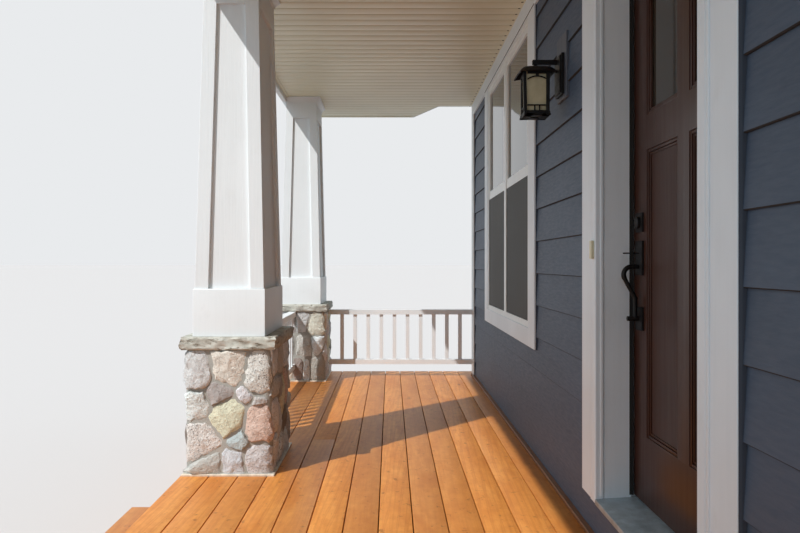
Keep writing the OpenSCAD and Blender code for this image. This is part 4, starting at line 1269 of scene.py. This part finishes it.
# %% Build the door leaf
door_brown = painted("door_brown_stain", hue(64, 37, 27), "z", 0.30, 0.0003, 60, 0.10,
                     specular=0.32)
dress("door_leaf", 0.002, door_brown, "door_brown", 2, "door")
leaf_low, leaf_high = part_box("door_leaf")
leaf_p = wall_y - leaf_low[1]
back = leaf_p - (leaf_high[1] - leaf_low[1])
STILE, MIDDLE_STILE, BEAD, INNER_BEAD = 0.133, 0.092, 0.011, 0.009
light_w = (leaf_high[0] - leaf_low[0] - 2 * STILE - MIDDLE_STILE) / 2
beads = []


def bead_round(x0, x1, z0, z1, p0, p1, width):
    """four strips inside an opening"""
    left, right = x0 + width, x1 - width
    for a, b, low, high in ((x0, left, z0, z1), (right, x1, z0, z1),
                            (left, right, z0, z0 + width), (left, right, z1 - width, z1)):
        beads.append(board(a, b, p0, p1, low, high, 0.5))


for i in (0, 1):
    x0 = leaf_low[0] + STILE + i * (light_w + MIDDLE_STILE)
    x1 = x0 + light_w
    for z0, z1, deep in ((leaf_low[2] + 0.250, leaf_low[2] + 1.295, 0.012),
                         (leaf_low[2] + 1.423, leaf_high[2] - 0.130, 0.0165)):
        bead_round(x0, x1, z0, z1, leaf_p - deep, leaf_p - 0.003, BEAD)
        bead_round(x0 + BEAD, x1 - BEAD, z0 + BEAD, z1 - BEAD, leaf_p - deep, leaf_p - 0.0075,
                   INNER_BEAD)
        bead_round(x0, x1, z0, z1, back + 0.003, back + deep, BEAD)
build(beads, "door_panel_mouldings", 0.0022, door_brown, "door_brown", "door_leaf",
      segments=2, body="door")

# %% [markdown]
# The leaf closes on a black foam seal on the stops, and its lip shows as a black line beside the
# leaf. A bead runs inside the brickmould and another beside it on the casing. The lockset and
# the threshold are the imported ones with rounded edges, and the hinges stay as imported.

# %% Fit the seal, the threshold and the hardware
def surround(inner, outer, p0, p1, foot, head):
    """two uprights and a head round the door, from inner to outer half width"""
    top = head + outer - inner
    return [board(door_x + a, door_x + b, p0, p1, low, top) for a, b, low in (
        (-outer, -inner, foot), (inner, outer, foot), (-inner, inner, head))]


door_x = (leaf_low[0] + leaf_high[0]) / 2
clear_head = leaf_high[2] - 0.005
seal = surround(0.4505, 0.4615, leaf_p + 0.003, leaf_p + 0.0119, leaf_low[2], clear_head)
seal += surround(0.4505, 0.4535, leaf_p + 0.0119, leaf_p + 0.0200, leaf_low[2], clear_head)
beads = surround(0.4480, 0.4530, 0.0030, 0.0150, door_low[2] + 0.032, clear_head - 0.004)
beads += surround(0.5035, 0.5170, 0.0290, 0.0345, door_low[2] + 0.002, clear_head + 0.0515)
build(beads, "door_surround_beads", 0.0022, trim_upright_painted_light, "white_paint", segments=2)
build(seal, "foam_seal", 0.001, foam_black, "black_metal")
dress("door_threshold", 0.002, sill_metal, "sill_grey", 2)
dress("door_lockset", 0.0008, black_metal, "black_metal", body="door")
coat(hinge_metal, "leaf_hinges", "jamb_hinges")

# %% [markdown]
# ## Lantern
# A flat arm carries a square cage under a flared roof. Its bars are flat iron, and most lean
# with the cage, which is wider at the top. A bar starts as a flat grid, is pulled to its place,
# arched if need be, and then gets its thickness.

# %% Helpers for the lantern's bars
cage_low, cage_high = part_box("lantern_frame")
lamp_x, lamp_p, foot_z = (cage_low[0] + cage_high[0]) / 2, 0.148, cage_low[2]
LEAN = 0.004 / 0.207


def thicken(piece, thickness, offset):
    """give a sheet its thickness"""
    only(piece)
    shell = piece.modifiers.new("thickness", 'SOLIDIFY')
    shell.thickness = thickness
    shell.offset = offset
    bpy.ops.object.modifier_apply(modifier=shell.name)
    mark(piece, 0.5)


def bar(out0, out1, y0, y1, z0, z1, lean=LEAN, lift=0.0, steps=1):
    """a bar on the cage's +X face, from the lantern's middle and foot, that may arch or lean"""
    piece = start(bpy.ops.mesh.primitive_grid_add, "bar", x_subdivisions=steps,
                  y_subdivisions=1, size=1)
    z0, z1 = foot_z + z0, foot_z + z1
    for v in piece.data.vertices:
        t, h = v.co.x + 0.5, v.co.y + 0.5
        z = z0 + (z1 - z0) * h + lift * (1 - (2 * t - 1) ** 2)
        v.co = (out0 + lean * (z - foot_z), y0 + (y1 - y0) * t, z)
    thicken(piece, out1 - out0, 1)
    return piece


print("lantern foot at", round(foot_z, 3))

# %% [markdown]
# One face of the cage has a post, a top bar, an arched bar with a short stub, and a small
# lattice near the foot. That face is made once, and copies are turned round the lantern's
# middle, so that all four sides are alike.

# %% Forge the lantern's cage
def turned(piece, quarters):
    """the same part on another side of the lantern, moved to its place"""
    twin = copy_of(piece, piece.name)
    for v in twin.data.vertices:
        x, y = v.co.x, v.co.y
        for _ in range(quarters):
            x, y = -y, x
        v.co = (lamp_x + x, away(lamp_p) + y, v.co.z)
    return twin


face_parts = [
    bar(0.046, 0.060, 0.041, 0.055, 0.018, 0.200), bar(0.049, 0.0605, 0.0405, 0.0605, 0, 0.009, 0),
    bar(0.048, 0.0595, 0.0415, 0.058, 0.009, 0.019, 0),
    bar(0.048, 0.054, -0.045, 0.045, 0.189, 0.201),
    bar(0.048, 0.053, -0.045, 0.045, 0.161, 0.167, lift=0.014, steps=12),
    bar(0.048, 0.053, -0.007, 0.007, 0.179, 0.190), bar(0.048, 0.053, -0.045, 0.045, 0.044, 0.050),
    bar(0.048, 0.053, -0.014, -0.008, 0.022, 0.046), bar(0.048, 0.053, 0.008, 0.014, 0.022, 0.046),
    bar(0.048, 0.055, -0.045, 0.045, 0.009, 0.023, 0),
    bar(0.020, 0.0590, -0.0590, 0.0590, 0, 0.006, 0)]
cage = [turned(part, k) for k in range(4) for part in face_parts]
only(*face_parts)
bpy.ops.object.delete()
print("cage parts", len(cage))

# %% [markdown]
# The roof starts as a flat grid. Its middle stays flat, its sides curve down into a skirt, and
# its corners drop lowest, so that each edge is a shallow arch.

# %% Shape the lantern's roof, arm and plate
ROOF_WIDE, ROOF_TOP, ROOF_FLAT = 0.166, 0.227, 0.45
canopy = start(bpy.ops.mesh.primitive_grid_add, "canopy", x_subdivisions=16,
               y_subdivisions=16, size=1)
for v in canopy.data.vertices:
    far, near = max(abs(v.co.x), abs(v.co.y)) * 2, min(abs(v.co.x), abs(v.co.y)) * 2
    t = max((far - ROOF_FLAT) / (1 - ROOF_FLAT), 0)
    v.co = (lamp_x + v.co.x * ROOF_WIDE, away(lamp_p) + v.co.y * ROOF_WIDE,
            foot_z + ROOF_TOP - 0.029 * t ** 2.4 - 0.006 * t * (near / max(far, 0.01)) ** 3)
thicken(canopy, 0.004, -1)
smooth(canopy, 40)
plate_low, plate_high = foot_z + 0.098, foot_z + 0.284
arm_low, arm_high = foot_z + 0.244, foot_z + 0.264
ironwork = [board(lamp_x - half, lamp_x + half, p0, p1, z0, z1) for half, p0, p1, z0, z1 in (
    (0.059, 0.026, 0.040, plate_low, plate_high),
    (0.050, 0.040, 0.046, plate_low + 0.008, plate_high - 0.008),
    (0.011, 0.040, 0.160, arm_low, arm_high),
    (0.007, lamp_p - 0.007, lamp_p + 0.007, foot_z + 0.220, arm_low + 0.002),
    (0.050, lamp_p - 0.050, lamp_p + 0.050, foot_z + 0.200, foot_z + 0.222),
    (0.006, 0.040, lamp_p - 0.048, foot_z + 0.206, foot_z + 0.218))]
ironwork = ease(join(ironwork + cage, "lantern_ironwork"), 0.0008)
settle(join([ironwork, canopy], "lantern_ironwork"), black_metal, "black_metal",
       "lantern_frame")
coat(lantern_cream, "lantern_glass")

# %% [markdown]
# ## Doorbell
# The bell push beside the door is an ivory plate with a small round button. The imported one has
# both, so it only gets softer edges and the ivory plastic.

# %% Fit the doorbell
dress("doorbell", 0.003, ivory, "ivory_plastic", 2)

# %% [markdown]
# ## Floor of the studio, and the blanks removed
# A plain pale floor carries the shadow. It is darker to the light than to the camera and the
# mirrors, so it matches the background but throws little light up at the porch.

# %% Finish
studio_floor = start(bpy.ops.mesh.primitive_plane_add, "studio_floor", size=1200)
floor_paint = new_finish("studio_floor", 0.9, specular=0.1)
look = add('ShaderNodeLightPath', {})
for k in (3, 6):
    look = reckon('MAXIMUM', look, add('ShaderNodeLightPath', {}, out=k))
floor_tone = blend(look, (0.27, 0.27, 0.27, 1), (0.617, 0.578, 0.562, 1))
to_shader(floor_tone)
studio_floor.data.materials.append(floor_paint)
only(blank_board, blank_stone, blank_lap)
bpy.ops.object.delete()
print("faces", sum(len(p.data.polygons) for p in pieces))
